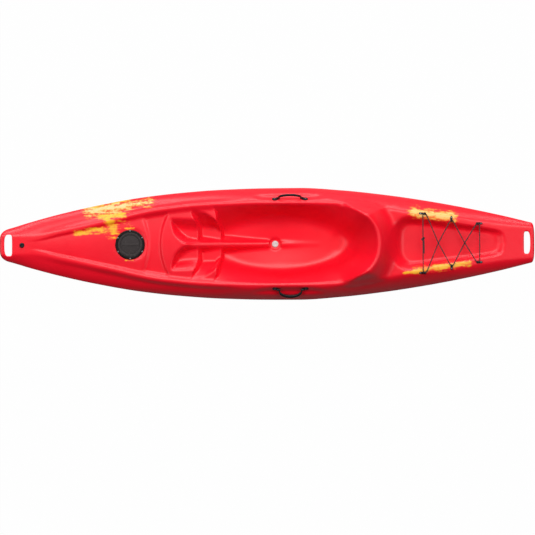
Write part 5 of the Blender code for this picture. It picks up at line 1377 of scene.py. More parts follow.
def swept(name, path, radius, sides, material=None, matrix=None):
    """Round tube along a path of points, with its girth and length in a UV map."""
    path = [Vector(point) for point in path]
    last = len(path) - 1
    rings, travelled = [], [0.0]
    side = (path[1] - path[0]).normalized().orthogonal().normalized()
    for i, point in enumerate(path):
        before = path[max(i - 1, 0)]
        ahead = (path[min(i + 1, last)] - before).normalized()
        side = (side - ahead * side.dot(ahead)).normalized()
        over = ahead.cross(side)
        for k in range(sides):
            turn = 2 * math.pi * k / sides
            rings.append(point + (side * math.cos(turn) + over * math.sin(turn)) * radius)
        if i:
            travelled.append(travelled[-1] + (point - before).length)
    faces, corners = [], []
    for i in range(last):
        near, far = i * sides, (i + 1) * sides
        low, high = travelled[i], travelled[i + 1]
        for k in range(sides):
            j = (k + 1) % sides
            left, right = k / sides, (k + 1) / sides
            faces.append((near + k, near + j, far + j, far + k))
            corners.append(((left, low), (right, low), (right, high), (left, high)))
    for start, point, flip in ((0, path[0], True), (last * sides, path[-1], False)):
        hub = len(rings)
        rings.append(point)
        for k in range(sides):
            a, b = start + k, start + (k + 1) % sides
            faces.append((b, a, hub) if flip else (a, b, hub))
            corners.append(((0.0, 0.0), (0.1, 0.0), (0.05, 0.05)))
    mesh = bpy.data.meshes.new(name)
    mesh.from_pydata([tuple(point) for point in rings], [], faces)
    layer = mesh.uv_layers.new(name="length")
    for face, places in zip(mesh.polygons, corners):
        for loop, place in zip(face.loop_indices, places):
            layer.data[loop].uv = place
    return show(name, mesh, material, matrix, TUBE_SHARP_ANGLE)


def settle(piece, body, slot, *nodes):
    """Let a finished piece move with its body and stand for its nodes."""
    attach(piece, body)
    if nodes:
        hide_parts(*nodes)
    return piece


# Hull

def fine_places():
    """Places of the hull's cross-sections, closest over the ends, footwells and fittings."""
    tip = LENGTH / 2
    ends = [TIP_NOSE * (1 - math.cos(math.pi * k / 2 / NOSE_STATIONS)) for k in range(NOSE_STATIONS)]
    places = [-tip + place for place in ends]
    for low, high, step in HULL_STRETCHES:
        count = round((high - low) / step)
        places += [low + (high - low) * k / count for k in range(count)]
    return np.array(places + [NOSE_X] + [tip - place for place in reversed(ends)])


def spread(places, counts):
    """Rows between neighbouring lines, each gap divided into its own count of steps."""
    rows = [low + (high - low) * k / count
            for low, high, count in zip(places, places[1:], counts) for k in range(count)]
    return np.array(rows + [places[-1]])


def rim_rows(x, beam):
    """Middle and inner edge of the rim, which draw in with the beam near the ends."""
    rim = np.minimum(fair(RIM_PLACE, x), RIM_MOST * beam)
    return rim, np.maximum(rim - RIM_TOP / 2, RIM_INNER_LEAST * rim)


def deck_rows(x):
    beam = half_beam(x)
    rim, inner = rim_rows(x, beam)
    outer = np.minimum(rim + RIM_TOP / 2, RIM_OUTER_MOST * beam)
    last = outer + (beam - outer) * DECK_LAST_ROW
    return spread((0.0 * x, inner, outer, last, beam), DECK_ROWS)


def bottom_rows(x):
    beam = half_beam(x)
    keel = np.minimum(KEEL_HALF_WIDTH + 0 * x, KEEL_MOST * beam)
    foot = keel + np.minimum(KEEL_SIDE + 0 * x, KEEL_SIDE_MOST * beam)
    low = np.minimum(fair(LOW_CHINE_PLACE, x), LOW_CHINE_MOST * beam)
    low = np.maximum(low, foot + LOW_CHINE_GAP * beam)
    high = np.minimum(fair(HIGH_CHINE_PLACE, x), HIGH_CHINE_MOST * beam)
    last = high + (beam - high) * BOTTOM_LAST_ROW
    return spread((0.0 * x, keel, foot, low, high, last, beam), BOTTOM_ROWS)


def inner_rows(x):
    beam = half_beam(x) - CAVITY_NARROWING
    rim, inner = rim_rows(x, beam)
    return spread((0.0 * x, inner, rim, beam - WALL / 3, beam), INNER_ROWS)


def sheet(places, rows, height):
    """Points over the whole breadth of a surface, with its creases eased as moulding eases them.

    The lines follow the front of the tub, and the dish round the plug stays crisp.
    """
    near = smooth(1 - np.abs(places - TUB_FRONT_X) / TUB_FRONT_REACH)
    y = rows(places)
    sweep = np.clip(y / TUB_FRONT_HALF_WIDTH - TUB_SWEEP_START, 0.0, 1.0)
    x = places - near * TUB_FRONT_SWEEP * sweep
    y = np.minimum(y, half_beam(x) * y / np.maximum(half_beam(places), LEAST))
    half = np.stack((x, y, height(x, y)), axis=-1)
    whole = np.concatenate((half[:0:-1] * (1.0, -1.0, 1.0), half))
    moulded = whole.copy()
    for _ in range(SKIN_EASE):
        whole[1:-1] = (whole[:-2] + 2 * whole[1:-1] + whole[2:]) / 4
        whole[:, 1:-1] = (whole[:, :-2] + 2 * whole[:, 1:-1] + whole[:, 2:]) / 4
    from_dish = np.hypot(whole[..., 0] - DISH_X, whole[..., 1])
    crisp = smooth((DISH_RADIUS + CRISP_MARGIN - from_dish) / CRISP_MARGIN)
    return whole + (moulded - whole) * crisp[..., None]


def skin(name, upper, lower):
    """Closed skin over a top and a bottom sheet that meet along their outer rows."""
    points = np.concatenate((upper.reshape(-1, 3), lower.reshape(-1, 3)))
    faces = []
    start = 0
    for height, width, turn in ((*upper.shape[:2], -1), (*lower.shape[:2], 1)):
        grid = np.arange(height * width).reshape(height, width) + start
        quads = np.stack((grid[:-1, :-1], grid[:-1, 1:], grid[1:, 1:], grid[1:, :-1]), axis=-1)
        faces += quads.reshape(-1, 4)[:, ::turn].tolist()
        start += height * width
    return make_piece(name, points, faces)


def slot_size(slot):
    """Middle, half length and half width of a grip slot."""
    low, high, width = slot
    return (low + high) / 2, (high - low) / 2, width / 2


def rolled_slot(x, y, slot):
    """How far the skin is rolled in round a grip slot."""
    middle, half_x, half_y = slot_size(slot)
    across = np.maximum(np.abs(x - middle) / half_x, LEAST)
    along = np.maximum(np.abs(y) / half_y, LEAST)
    power = np.where((x - middle) * middle > 0, SLOT_OUTER_POWER, SLOT_INNER_POWER)
    size = across ** power + along ** power
    steep = power * np.hypot(across ** (power - 1) / half_x, along ** (power - 1) / half_y)
    away = np.clip((size - 1) / np.maximum(steep, LEAST), 0.0, SLOT_ROLL)
    return SLOT_ROLL - np.sqrt(np.maximum(SLOT_ROLL ** 2 - (SLOT_ROLL - away) ** 2, 0.0))


def slot_outline(slot, count=32):
    middle, half_x, half_y = slot_size(slot)
    points = []
    for k in range(2 * count):
        turn = math.pi * k / count
        power = SLOT_OUTER_POWER if math.sin(turn) * middle > 0 else SLOT_INNER_POWER
        along, across = (math.copysign(abs(part) ** (2 / power), part)
                         for part in (math.cos(turn), math.sin(turn)))
        points.append((middle + across * half_x, along * half_y))
    return points


def outer_skin():
    places = fine_places()
    upper = sheet(places, deck_rows, deck_surface)
    lower = sheet(places, bottom_rows, bottom_surface)
    for slot in GRIP_SLOTS:
        upper[..., 2] -= rolled_slot(upper[..., 0], upper[..., 1], slot)
        lower[..., 2] += rolled_slot(lower[..., 0], lower[..., 1], slot)
    for points in (upper, lower):
        edge = fair(PARTING_HEIGHT, points[..., 0])
        points[[0, -1], :, 2] = edge[[0, -1]]
        points[:, [0, -1], 2] = edge[:, [0, -1]]
    return skin("hull_moulding", upper, lower)


def least_near(height):
    """Lowest of each height and the eight round it."""
    rows, columns = height.shape
    wider = np.pad(height, 1, "edge")
    return np.min([wider[i:i + rows, j:j + columns] for i in range(3) for j in range(3)], axis=0)


def cavity():
    """Hollow of the hull, coarse because only the open hatch shows it."""
    places = np.linspace(CAVITY_BOW_X, CAVITY_STERN_X, CAVITY_STATIONS)
    upper = sheet(places, inner_rows, deck_inside)
    lower = sheet(places, inner_rows, bottom_inside)
    low, high = -least_near(-lower[..., 2]), least_near(upper[..., 2])
    middle = (low + high) / 2
    upper[..., 2] = np.maximum(high, middle + WALL / 6)
    lower[..., 2] = np.minimum(low, middle - WALL / 6)
    for points in (upper, lower):
        points[:, [0, -1], 2] = middle[:, [0, -1]]
        points[[0, -1], :, 2] = middle[[0, -1]]
    made = skin("cavity", upper, lower)
    thin = made.modifiers.new("fewer_facets", "DECIMATE")
    thin.ratio = CAVITY_SHARE
    return apply_modifiers(made)


def hull_cutters():
    """Holes, lands and slots, as the fittings need them."""
    cutters = [cavity()]
    for slot in GRIP_SLOTS:
        height = float(fair(PARTING_HEIGHT, slot[0]))
        cutters.append(prism("slot", slot_outline(slot), height - SLOT_REACH, height + SLOT_REACH))
    cutters.append(rod(HATCH_HOLE_RADIUS, -HATCH_CUT, HATCH_CUT, 96, hatch_frame()))
    cutters.append(rod(HATCH_SEAT_RADIUS, 0.0, HATCH_CUT, 96, hatch_frame()))
    plug_seats = ((bow_plug_frame(), INSERT_SEAT_RADIUS), (seat_plug_frame(), SEAT_PLUG_SEAT_RADIUS))
    for place, radius in plug_seats:
        cutters.append(rod(INSERT_RADIUS + GAP, -SEAT_CUT, SHORT_CUT, 32, place))
        cutters.append(rod(radius, 0.0, SEAT_CUT, 48, place))
    for side in (1, -1):
        for end in (-1, 1):
            place = pad_frame(side, end)
            outline = pad_outline(-end, PAD_RADIUS + PAD_SEAT_MARGIN, PAD_SEAT_HALF_WIDTH, PAD_SEAT_END)
            cutters.append(prism("seat", outline, 0.0, SEAT_CUT, None, place))
            cutters.append(rod(HANDLE_INSERT_RADIUS + GAP, -DEEP_CUT, INSERT_CUT, 16,
                               at(place, -end * PAD_SCREW_X, 0.0)))
    for _, _, place, toward, half in eye_places():
        outline = stadium(half + EYE_BASE_OVERHANG, EYE_BASE_RADIUS + EYE_SEAT_MARGIN, toward)
        cutters.append(prism("seat", outline, 0.0, SEAT_CUT, None, place))
    notch = rounded(SKID_LENGTH / 2 + NOTCH_END, KEEL_HALF_WIDTH + NOTCH_SIDE, NOTCH_END, 1)
    cutters.append(prism("seat", notch, 0.0, DEEP_CUT, None, keel_frame()))
    for place, _ in screw_places():
        cutters.append(rod(SCREW_HOLE_RADIUS, -DEEP_CUT, SCREW_CUT, 12, place))
    return cutters


def paint_streaks(mesh):
    """Store how far each point lies inside a streak, its share of painted sheen, and how far from the
    moulding's seam.
    """
    count = len(mesh.vertices)
    points = np.zeros(count * 3)
    mesh.vertices.foreach_get("co", points)
    x, y, z = points.reshape(-1, 3).T
    seam = np.abs(z - fair(PARTING_HEIGHT, x)) + np.maximum(half_beam(x) - np.abs(y) - SEAM_REACH, 0.0)
    under = z < fair(PARTING_HEIGHT, x)
    inside, cream = np.full(count, -1.0), np.zeros(count)
    for x1, y1, x2, y2, width, level, sheen_share, face in STREAKS:
        along = np.array((x2 - x1, y2 - y1))
        share = np.clip(((x - x1) * along[0] + (y - y1) * along[1]) / along.dot(along), 0.0, 1.0)
        away = np.hypot(x - x1 - share * along[0], y - y1 - share * along[1])
        here = np.where(under == (face == "bottom"), level - away / width, -1.0)
        cream = np.where(here > inside, sheen_share, cream)
        inside = np.maximum(inside, here)
    for name, values in (("streak", inside), ("cream", cream), ("seam", seam)):
        layer = mesh.attributes.new(name, "FLOAT", "POINT")
        layer.data.foreach_set("value", values.astype(np.float32))


def build_hull():
    hull = outer_skin()
    hull.data.materials.append(finish("hull_plastic"))
    combine(hull, hull_cutters(), "DIFFERENCE", CUT_SHARP_ANGLE)
    paint_streaks(hull.data)
    settle(hull, "hull", "red_polyethylene", "hull_shell")


# Places of the fittings

def bow_plug_frame():
    return deck_frame(BOW_PLUG_X, 0.0, PLUG_SLOPE_REACH, LAND_SINK)


def seat_plug_frame():
    return deck_frame(DISH_X, 0.0, PLUG_SLOPE_REACH, LAND_SINK / 2)


def hatch_frame():
    return Matrix.Translation((HATCH_X, 0.0, HATCH_LAND_Z))


def hatch_levels():
    """Heights above the hatch's land: ring's flange, its top, its ledge, lid's underside and top."""
    flange = GAP + GASKET_THICK + GAP
    top = flange + RING_THICK
    ledge = top - RING_LEDGE_DEPTH
    under = ledge + GAP + LID_SEAL_THICK + GAP
    return flange, top, ledge, under, under + LID_THICK


def pad_frame(side, end):
    """Frame of a carry handle's pad, end -1 for the front one and +1 for the rear one."""
    return handle_frame(side, HANDLE_X + end * HANDLE_SPACING / 2)


def eye_places():
    """Each lashing eye's name, side, frame, direction to its screw and half the way there."""
    for word, x, y, direction, spacing in EYES:
        for side in (1, -1):
            place = deck_frame(x, side * y, EYE_SLOPE_REACH, LAND_SINK)
            yield word, side, place, (direction[0], side * direction[1]), spacing / 2


def screw_places():
    """Frame of each screw and the height of its seat there."""
    places = []
    top = hatch_levels()[1]
    for k in range(HATCH_SCREWS):
        angle = math.pi / 2 + 2 * math.pi * k / HATCH_SCREWS
        place = at(hatch_frame(), HATCH_SCREW_CIRCLE * math.cos(angle), HATCH_SCREW_CIRCLE * math.sin(angle))
        places.append((place, top))
    places += [(at(pad_frame(side, end), -end * PAD_SCREW_X, 0.0), GAP + PAD_THICK)
               for side in (1, -1) for end in (-1, 1)]
    places += [(at(place, toward[0] * half, toward[1] * half), GAP + EYE_BASE_THICK)
               for _, _, place, toward, half in eye_places()]
    return places + skid_screw_places()


def skid_screw_places():
    return [(at(keel_frame(), end * SKID_SCREW_SPACING / 2, 0.0), GAP + SKID_THICK - SKID_HEAD_DEPTH)
            for end in (-1, 1)]


# Geometry Nodes

SOCKET_KINDS = {
    float: "NodeSocketFloat", int: "NodeSocketInt", bpy.types.Material: "NodeSocketMaterial",
}


def new_tree(name, values):
    """Geometry tree with a geometry input and output, and an input for each named value."""
    group = bpy.data.node_groups.new(name, "GeometryNodeTree")
    group.interface.new_socket("Geometry", in_out="INPUT", socket_type="NodeSocketGeometry")
    for label, value in values.items():
        group.interface.new_socket(label, in_out="INPUT", socket_type=SOCKET_KINDS[type(value)])
    group.interface.new_socket("Geometry", in_out="OUTPUT", socket_type="NodeSocketGeometry")
    tree = NodeTree(group)
    start = group.nodes.new("NodeGroupInput")
    return tree, {socket.name: Wire(tree, socket) for socket in start.outputs if socket.name}


def end_tree(tree, shape, material):
    """Close a tree with real geometry in its own material."""
    real = tree.add("GeometryNodeRealizeInstances", {}, {"Geometry": shape})
    painted = tree.add("GeometryNodeSetMaterial", {}, {"Geometry": real, "Material": material})
    tree.add("NodeGroupOutput", {}, {"Geometry": painted})


def grow(piece, make_tree, values):
    """Run a geometry tree with named values on a piece, and keep its result as a plain mesh."""
    group = make_tree(values).tree
    nodes = piece.modifiers.new(group.name, "NODES")
    nodes.node_group = group
    for item in group.interface.items_tree:
        if item.item_type == "SOCKET" and item.in_out == "INPUT" and item.name in values:
            nodes[item.identifier] = values[item.name]
    return apply_modifiers(piece)


def move(tree, shape, offset=(0.0, 0.0, 0.0), scale=(1.0, 1.0, 1.0)):
    return tree.add("GeometryNodeTransform", {}, {"Geometry": shape, "Translation": offset, "Scale": scale})


def vector(tree, x=0.0, y=0.0, z=0.0):
    return tree.add("ShaderNodeCombineXYZ", {}, {"X": x, "Y": y, "Z": z})


def parts(tree, axes):
    """The named parts of each point's position."""
    spot = tree.add("GeometryNodeInputPosition")
    return [tree.add("ShaderNodeSeparateXYZ", {}, {"Vector": spot}, axis) for axis in axes]


def instances(tree, points, piece, angles):
    """The piece on every point, turned by the angles there."""
    facing = tree.add("FunctionNodeEulerToRotation", {}, {"Euler": angles})
    return tree.add("GeometryNodeInstanceOnPoints", {}, {
        "Points": points, "Instance": piece, "Rotation": facing})


def screw_tree(values):
    """Pan-head screw with a cross recess, put on every point of the geometry."""
    tree, given = new_tree("pan_head_screws", values)
    radius, height, recess = given["Head Radius"], given["Head Height"], given["Recess Width"]
    ball = tree.add("GeometryNodeMeshUVSphere", {}, {"Segments": 24, "Rings": 14, "Radius": radius}, "Mesh")
    x, y, z = parts(tree, "XYZ")
    dome = z.maths("MAXIMUM", z / radius, 0.0)
    raised = vector(tree, x, y, height * dome ** SCREW_DOME_POWER)
    head = tree.add("GeometryNodeSetPosition", {}, {"Geometry": ball, "Position": raised})
    long_side = radius * RECESS_LENGTH
    blades = [move(tree, tree.add("GeometryNodeMeshCube", {}, {
        "Size": vector(tree, *sides, height * RECESS_DEPTH)}, "Mesh"), vector(tree, z=height * RECESS_MID))
        for sides in ((long_side, recess), (recess, long_side))]
    head = tree.add("GeometryNodeMeshBoolean", {"operation": "DIFFERENCE", "solver": "EXACT"}, {
        "Mesh 1": head, "Mesh 2": blades}, "Mesh")
    length = given["Shank Length"]
    shank = tree.add("GeometryNodeMeshCylinder", {}, {
        "Vertices": 16, "Radius": given["Shank Radius"], "Depth": length}, "Mesh")
    shank = move(tree, shank, vector(tree, z=height * SCREW_SHANK_RISE - length / 2))
    screw = tree.add("GeometryNodeMeshBoolean", {"operation": "UNION", "solver": "EXACT"}, {
        "Mesh": [head, shank]}, "Mesh")
    angles = tree.add("GeometryNodeInputNamedAttribute", {"data_type": "FLOAT_VECTOR"}, {
        "Name": "angles"}, "Attribute")
    end_tree(tree, instances(tree, given["Geometry"], screw, angles), given["Material"])
    return tree


def build_screws():
    places = screw_places()
    mesh = bpy.data.meshes.new("screws")
    mesh.from_pydata([tuple(place @ Vector((0.0, 0.0, seat + GAP))) for place, seat in places], [], [])
    layer = mesh.attributes.new("angles", "FLOAT_VECTOR", "POINT")
    for k, (place, seat) in enumerate(places):
        layer.data[k].vector = (place.to_3x3() @ Matrix.Rotation(SCREW_TURN * k, 3, "Z")).to_euler()
    screws = grow(show("screws", mesh), screw_tree, {
        "Head Radius": SCREW_HEAD_RADIUS, "Head Height": SCREW_HEAD_HEIGHT,
        "Shank Radius": SCREW_SHANK_RADIUS, "Shank Length": SCREW_LENGTH,
        "Recess Width": bpy.context.scene.kayak_sizes.screw_recess, "Material": finish("screw_steel")})
    settle(screws, "hull", "stainless_steel", *(name for name in frame["nodes"] if "screw" in name))


# Hatch

def rib_tree(values):
    """Small rounded ribs, evenly spaced round a circle and pointing outwards."""
    tree, given = new_tree("rim_ribs", values)
    ring = tree.add("GeometryNodeMeshCircle", {}, {
        "Vertices": given["Count"], "Radius": given["Circle Radius"]}, "Mesh")
    ball = tree.add("GeometryNodeMeshUVSphere", {}, {"Segments": 10, "Rings": 6, "Radius": 0.5}, "Mesh")
    size = vector(tree, given["Rib Length"], given["Rib Width"], given["Rib Rise"] * 2)
    rib = move(tree, ball, scale=size)
    x, y = parts(tree, "XY")
    placed = instances(tree, ring, rib, vector(tree, z=y.maths("ARCTAN2", y, x)))
    end_tree(tree, move(tree, placed, vector(tree, z=given["Height"])), given["Material"])
    return tree


def build_hatch():
    sizes = bpy.context.scene.kayak_sizes
    place = hatch_frame()
    flange, top, ledge, under, lid_top = hatch_levels()
    profile = eased((
        (RING_BORE, top - RING_INNER_BREAK[1]), (RING_BORE + RING_INNER_BREAK[0], top),
        (RING_RADIUS - RING_OUTER_BREAK[0], top), (RING_RADIUS, flange + RING_OUTER_BREAK[1]),
        (RING_RADIUS, flange), (SPIGOT_RADIUS, flange), (SPIGOT_RADIUS, -SPIGOT_DEPTH),
        (RING_LEDGE_BORE, -SPIGOT_DEPTH), (RING_LEDGE_BORE, ledge), (RING_BORE, ledge)), RING_EDGE, True, 3)
    ring = turned("hatch_ring_moulding", profile, TURNED_STEPS, "ring_moulding", place, True,
                  CUT_SHARP_ANGLE)
    holes = [screw_bore(spot) for spot, _ in screw_places()[:HATCH_SCREWS]]
    combine(ring, holes, "DIFFERENCE", CUT_SHARP_ANGLE)
    settle(ring, "hull", "black_nylon", "hatch_ring")
    dish = lid_top - LID_DISH_DEPTH
    inside = LID_NECK_RADIUS - LID_WALL
    profile = eased((
        (0.0, dish), (LID_DISC_RADIUS, dish), (LID_DISC_RADIUS + LID_GROOVE, dish - LID_GROOVE),
        (LID_DISH_RADIUS - LID_DISH_RUN, dish - LID_GROOVE), (LID_DISH_RADIUS, lid_top),
        (LID_RADIUS, lid_top), (LID_RADIUS, under), (LID_NECK_RADIUS, under), (LID_NECK_RADIUS, -LID_SKIRT),
        (inside, -LID_SKIRT), (inside, dish - LID_WALL), (0.0, dish - LID_WALL)), LID_EDGE, False, 3)
    lid = turned("hatch_lid_moulding", profile, TURNED_STEPS, "grey_moulding", place, False,
                 CUT_SHARP_ANGLE)
    length, width, rise = LID_BAR
    outline = rounded(length / 2, width / 2, width / 2, 10)
    bar = prism("bar", outline, dish - LID_DISH_RUN, dish + rise / 2, None, place, LID_BAR_EDGE)
    combine(lid, [bar], "UNION", CUT_SHARP_ANGLE)
    settle(lid, "hatch_cover", "dark_grey_plastic", "hatch_lid")
    ribs = grow(make_piece("hatch_lid_grip_ribs", [(0.0, 0.0, 0.0)], []), rib_tree, {
        "Count": sizes.lid_ribs, "Circle Radius": (LID_DISH_RADIUS + LID_RADIUS) / 2, "Height": lid_top,
        "Rib Length": sizes.lid_rib_length, "Rib Width": sizes.lid_rib_width, "Rib Rise": sizes.lid_rib_rise,
        "Material": finish("grey_moulding")})
    ribs.data.transform(place)
    settle(ribs, "hatch_cover", "dark_grey_plastic")


# Drain plugs

def build_plug(name, place, cap_radius, cap_height, material, body, slot, node):
    """Screwed plug: domed cap with a coin slot and a raised rim, over a ribbed shank."""
    under = GAP + INSERT_FLANGE + GAP + PLUG_SEAL_THICK + GAP
    top = under + cap_height
    foot = under - PLUG_LENGTH
    profile = [(share * cap_radius, top - drop * cap_height) for share, drop in PLUG_CAP]
    profile += [(cap_radius, under + cap_height / 4), (cap_radius, under), (PLUG_SHANK_RADIUS, under)]
    pitch = (PLUG_LENGTH - 2 * PLUG_THREAD_INSET) / PLUG_THREADS
    for k in range(PLUG_THREADS):
        high = under - PLUG_THREAD_INSET - pitch * k
        profile += [(PLUG_SHANK_RADIUS, high), (PLUG_SHANK_RADIUS - PLUG_THREAD_DEPTH, high - pitch / 2)]
    profile += [(PLUG_SHANK_RADIUS - PLUG_TIP_BREAK, foot), (0.0, foot)]
    cap = turned(name, eased(profile, PLUG_EDGE, False, 2), 72, material, place, False, CUT_SHARP_ANGLE)
    outline = rounded(COIN_SLOT_REACH * cap_radius, COIN_SLOT_HALF_WIDTH, 0.001, 3)
    coin = prism("coin_slot", outline, top - COIN_SLOT_DEPTH * cap_height, top + SHORT_CUT, None, place)
    combine(cap, [coin], "DIFFERENCE", CUT_SHARP_ANGLE)
    settle(cap, body, slot, node)


def build_plugs():
    build_plug("bow_plug_moulding", bow_plug_frame(), BOW_CAP_COVER, BOW_CAP_HEIGHT, "black_moulding",
               "bow_plug", "black_nylon", "bow_drain_plug")
    build_plug("seat_plug_moulding", seat_plug_frame(), SEAT_CAP_RADIUS, SEAT_CAP_HEIGHT, "pale_moulding",
               "seat_plug", "pale_plastic", "seat_drain_plug")


# Carry handles

def build_pad(name, place, toward, down):
    """End pad of a handle, with its lug and pivot pin.  toward is the local X of the other pad."""
    outline = pad_outline(toward, PAD_RADIUS, PAD_NECK_HALF_WIDTH, PAD_NECK_END)
    pad = prism(name, outline, GAP, GAP + PAD_THICK, "black_moulding", place, PAD_EDGE)
    drop = down * PIVOT_DROP
    low, high = sorted((toward * LUG_START, toward * PAD_NECK_END))
    near, far = drop + LUG_HALF_WIDTH, drop - LUG_HALF_WIDTH
    outline = ((high, near), (low, near), (low, far), (high, far))
    lug = prism("lug", outline, GAP + PAD_THICK / 2, LUG_HEIGHT, None, place, LUG_EDGE)
    ends = sorted((toward * (PAD_NECK_END - PIN_ROOT), toward * PIVOT_PIN_END))
    pivot = at(place, 0.0, drop, PIVOT_HEIGHT) @ Matrix.Rotation(math.pi / 2, 4, "Y")
    pin = rod(PIVOT_PIN_RADIUS, *ends, 24, pivot)
    combine(pad, [lug, pin], "UNION")
    return combine(pad, [screw_bore(at(place, toward * PAD_SCREW_X, 0.0))], "DIFFERENCE")


def build_grip(name, place, half):
    """Bowed grip with shallow finger ribs, and a bored eye at each end."""
    rings, sides = GRIP_RINGS, GRIP_SIDES
    points = []
    for k in range(rings + 1):
        t = math.pi * k / rings
        t = t + GRIP_CROWDING * math.sin(2 * t)
        middle, tangent = bow_point(half, t)
        swell = math.sin(t) ** (1 / GRIP_SWELL) if 0 < k < rings else 0.0
        full = smooth(1 - (1 - swell) * GRIP_SHOULDER)
        wide = GRIP_NECK_HALF_WIDTH + (GRIP_HALF_WIDTH - GRIP_NECK_HALF_WIDTH) * full
        deep = GRIP_NECK_HALF_DEPTH + (GRIP_HALF_DEPTH - GRIP_NECK_HALF_DEPTH) * full
        rib = 1 - GRIP_RIB * full * (0.5 + 0.5 * math.cos(2 * math.pi * GRIP_RIBS * k / rings))
        for i in range(sides):
            turn = 2 * math.pi * i / sides
            side = wide * math.cos(turn) * rib
            points.append((middle[0] - tangent[1] * side, middle[1] + tangent[0] * side,
                           deep * rib * math.sin(turn)))
    faces = [tuple(range(sides)), tuple(rings * sides + i for i in range(sides))]
    for k in range(rings):
        for i in range(sides):
            a, b = k * sides + i, k * sides + (i + 1) % sides
            faces.append((a, b, b + sides, a + sides))
    grip = make_piece(name, points, faces, "black_moulding", place)
    profile = eased(((0.0, EYE_WIDTH / 2), (EYE_RADIUS, EYE_WIDTH / 2), (EYE_RADIUS, -EYE_WIDTH / 2),
                     (0.0, -EYE_WIDTH / 2)), PIVOT_EYE_EDGE, False, 3)
    pivots = [at(place, end * half, 0.0) @ Matrix.Rotation(math.pi / 2, 4, "Y") for end in (-1, 1)]
    combine(grip, [turned("eye", profile, 32, None, pivot) for pivot in pivots], "UNION")
    bores = [rod(EYE_BORE_RADIUS, -EYE_WIDTH, EYE_WIDTH, 24, pivot) for pivot in pivots]
    return combine(grip, bores, "DIFFERENCE")


def build_handles():
    half = HANDLE_SPACING / 2 - EYE_START - EYE_WIDTH / 2
    for side, name, angle in ((1, "starboard", STARBOARD_HANDLE_ANGLE), (-1, "port", PORT_HANDLE_ANGLE)):
        for end, word in ((-1, "front"), (1, "rear")):
            node = f"{name}_handle_{word}_pad"
            pad = build_pad(f"{node}_moulding", pad_frame(side, end), -end, side)
            settle(pad, "hull", "black_nylon", node)
        turn = math.radians(angle)
        reach = Vector((0.0, side * math.cos(turn), math.sin(turn)))
        along = Vector((1.0, 0.0, 0.0))
        place = Matrix((along, reach, along.cross(reach))).transposed().to_4x4()
        place.translation = handle_frame(side, HANDLE_X) @ Vector((0.0, side * PIVOT_DROP, PIVOT_HEIGHT))
        node = f"{name}_handle_grip"
        settle(build_grip(f"{node}_moulding", place, half), f"{name}_grip", "black_nylon", node)


# Lashing eyes and bungee

def arch_path():
    foot = GAP + EYE_BASE_THICK / 2
    spring = GAP + EYE_BASE_THICK + EYE_ARCH_LEG
    bow = [(0.0, y, spring + z) for y, z in arc(0.0, 0.0, EYE_ARCH_RADIUS, 0, 180, 16)]
    return [(0.0, EYE_ARCH_RADIUS, foot), *bow, (0.0, -EYE_ARCH_RADIUS, foot)]


def build_eyes():
    for word, side, place, toward, half in eye_places():
        node = f"{'starboard' if side > 0 else 'port'}_{word}_eye"
        outline = stadium(half + EYE_BASE_OVERHANG, EYE_BASE_RADIUS, toward)
        base = prism(f"{node}_moulding", outline, GAP, GAP + EYE_BASE_THICK, "black_moulding", place,
                     EYE_BASE_EDGE)
        middle = at(place, -toward[0] * half, -toward[1] * half)
        combine(base, [swept("arch", arch_path(), EYE_WIRE_RADIUS, 16, None, middle)], "UNION")
        combine(base, [screw_bore(at(place, toward[0] * half, toward[1] * half))], "DIFFERENCE")
        settle(base, "hull", "black_nylon", node)


def arches():
    """Frame at the cord's height in each eye's arch."""
    return {(word, side): at(place, -toward[0] * half, -toward[1] * half, GAP + CORD_LIFT)
            for word, side, place, toward, half in eye_places()}


def cord_route():
    """Points of the shock cord from the knot, through the six eyes and back, and the knot's place."""
    places = arches()

    def through(word, side, ahead):
        return places[(word, side)] @ Vector((ahead, 0.0, 0.0))

    def crossing(front, back, lift):
        middle = (through(*front, CORD_CROSS) + through(*back, -CORD_CROSS)) / 2
        return Vector((middle.x, 0.0, middle.z + lift))

    knot = (through("front", 1, -CORD_CORNER) + through("front", -1, -CORD_CORNER)) / 2
    knot += Vector((0.0, 0.0, CORNER_LIFT * 4 / 3))
    knot.y = KNOT_PLACE
    reach = Vector((0.0, KNOT_LENGTH / 2 + GAP, 0.0))
    route = [
        knot + reach,
        *corner_points("front", 1, through, -CORD_CORNER, CORD_NEAR),
        crossing(("front", 1), ("middle", -1), CROSSING_LIFT),
        through("middle", -1, -CORD_NEAR), through("middle", -1, CORD_NEAR),
        crossing(("middle", -1), ("rear", 1), -CROSSING_LIFT),
        *corner_points("rear", 1, through, -CORD_NEAR, CORD_CORNER),
        *corner_points("rear", -1, through, CORD_CORNER, -CORD_NEAR),
        crossing(("middle", 1), ("rear", -1), CROSSING_LIFT),
        through("middle", 1, CORD_NEAR), through("middle", 1, -CORD_NEAR),
        crossing(("front", -1), ("middle", 1), -CROSSING_LIFT),
        *corner_points("front", -1, through, CORD_NEAR, -CORD_CORNER),
        knot - reach,
    ]
    return route, knot


def knot_path(centre):
    """Overhand knot drawn tight round the cord's line."""
    end = Vector((0.0, KNOT_LENGTH / 2, 0.0))
    points = [centre + end]
    for k in range(KNOT_POINTS + 1):
        t = 2 * math.pi * (0.04 + 0.92 * k / KNOT_POINTS)
        loop = Vector((math.sin(t) + 2 * math.sin(2 * t), -math.sin(3 * t) * 1.6,
                       math.cos(t) - 2 * math.cos(2 * t)))
        drift = Vector((0.0, KNOT_LENGTH * 0.22 * math.cos(t / 2), 0.0))
        points.append(centre + loop * KNOT_LOOP + drift)
    return points + [centre - end]


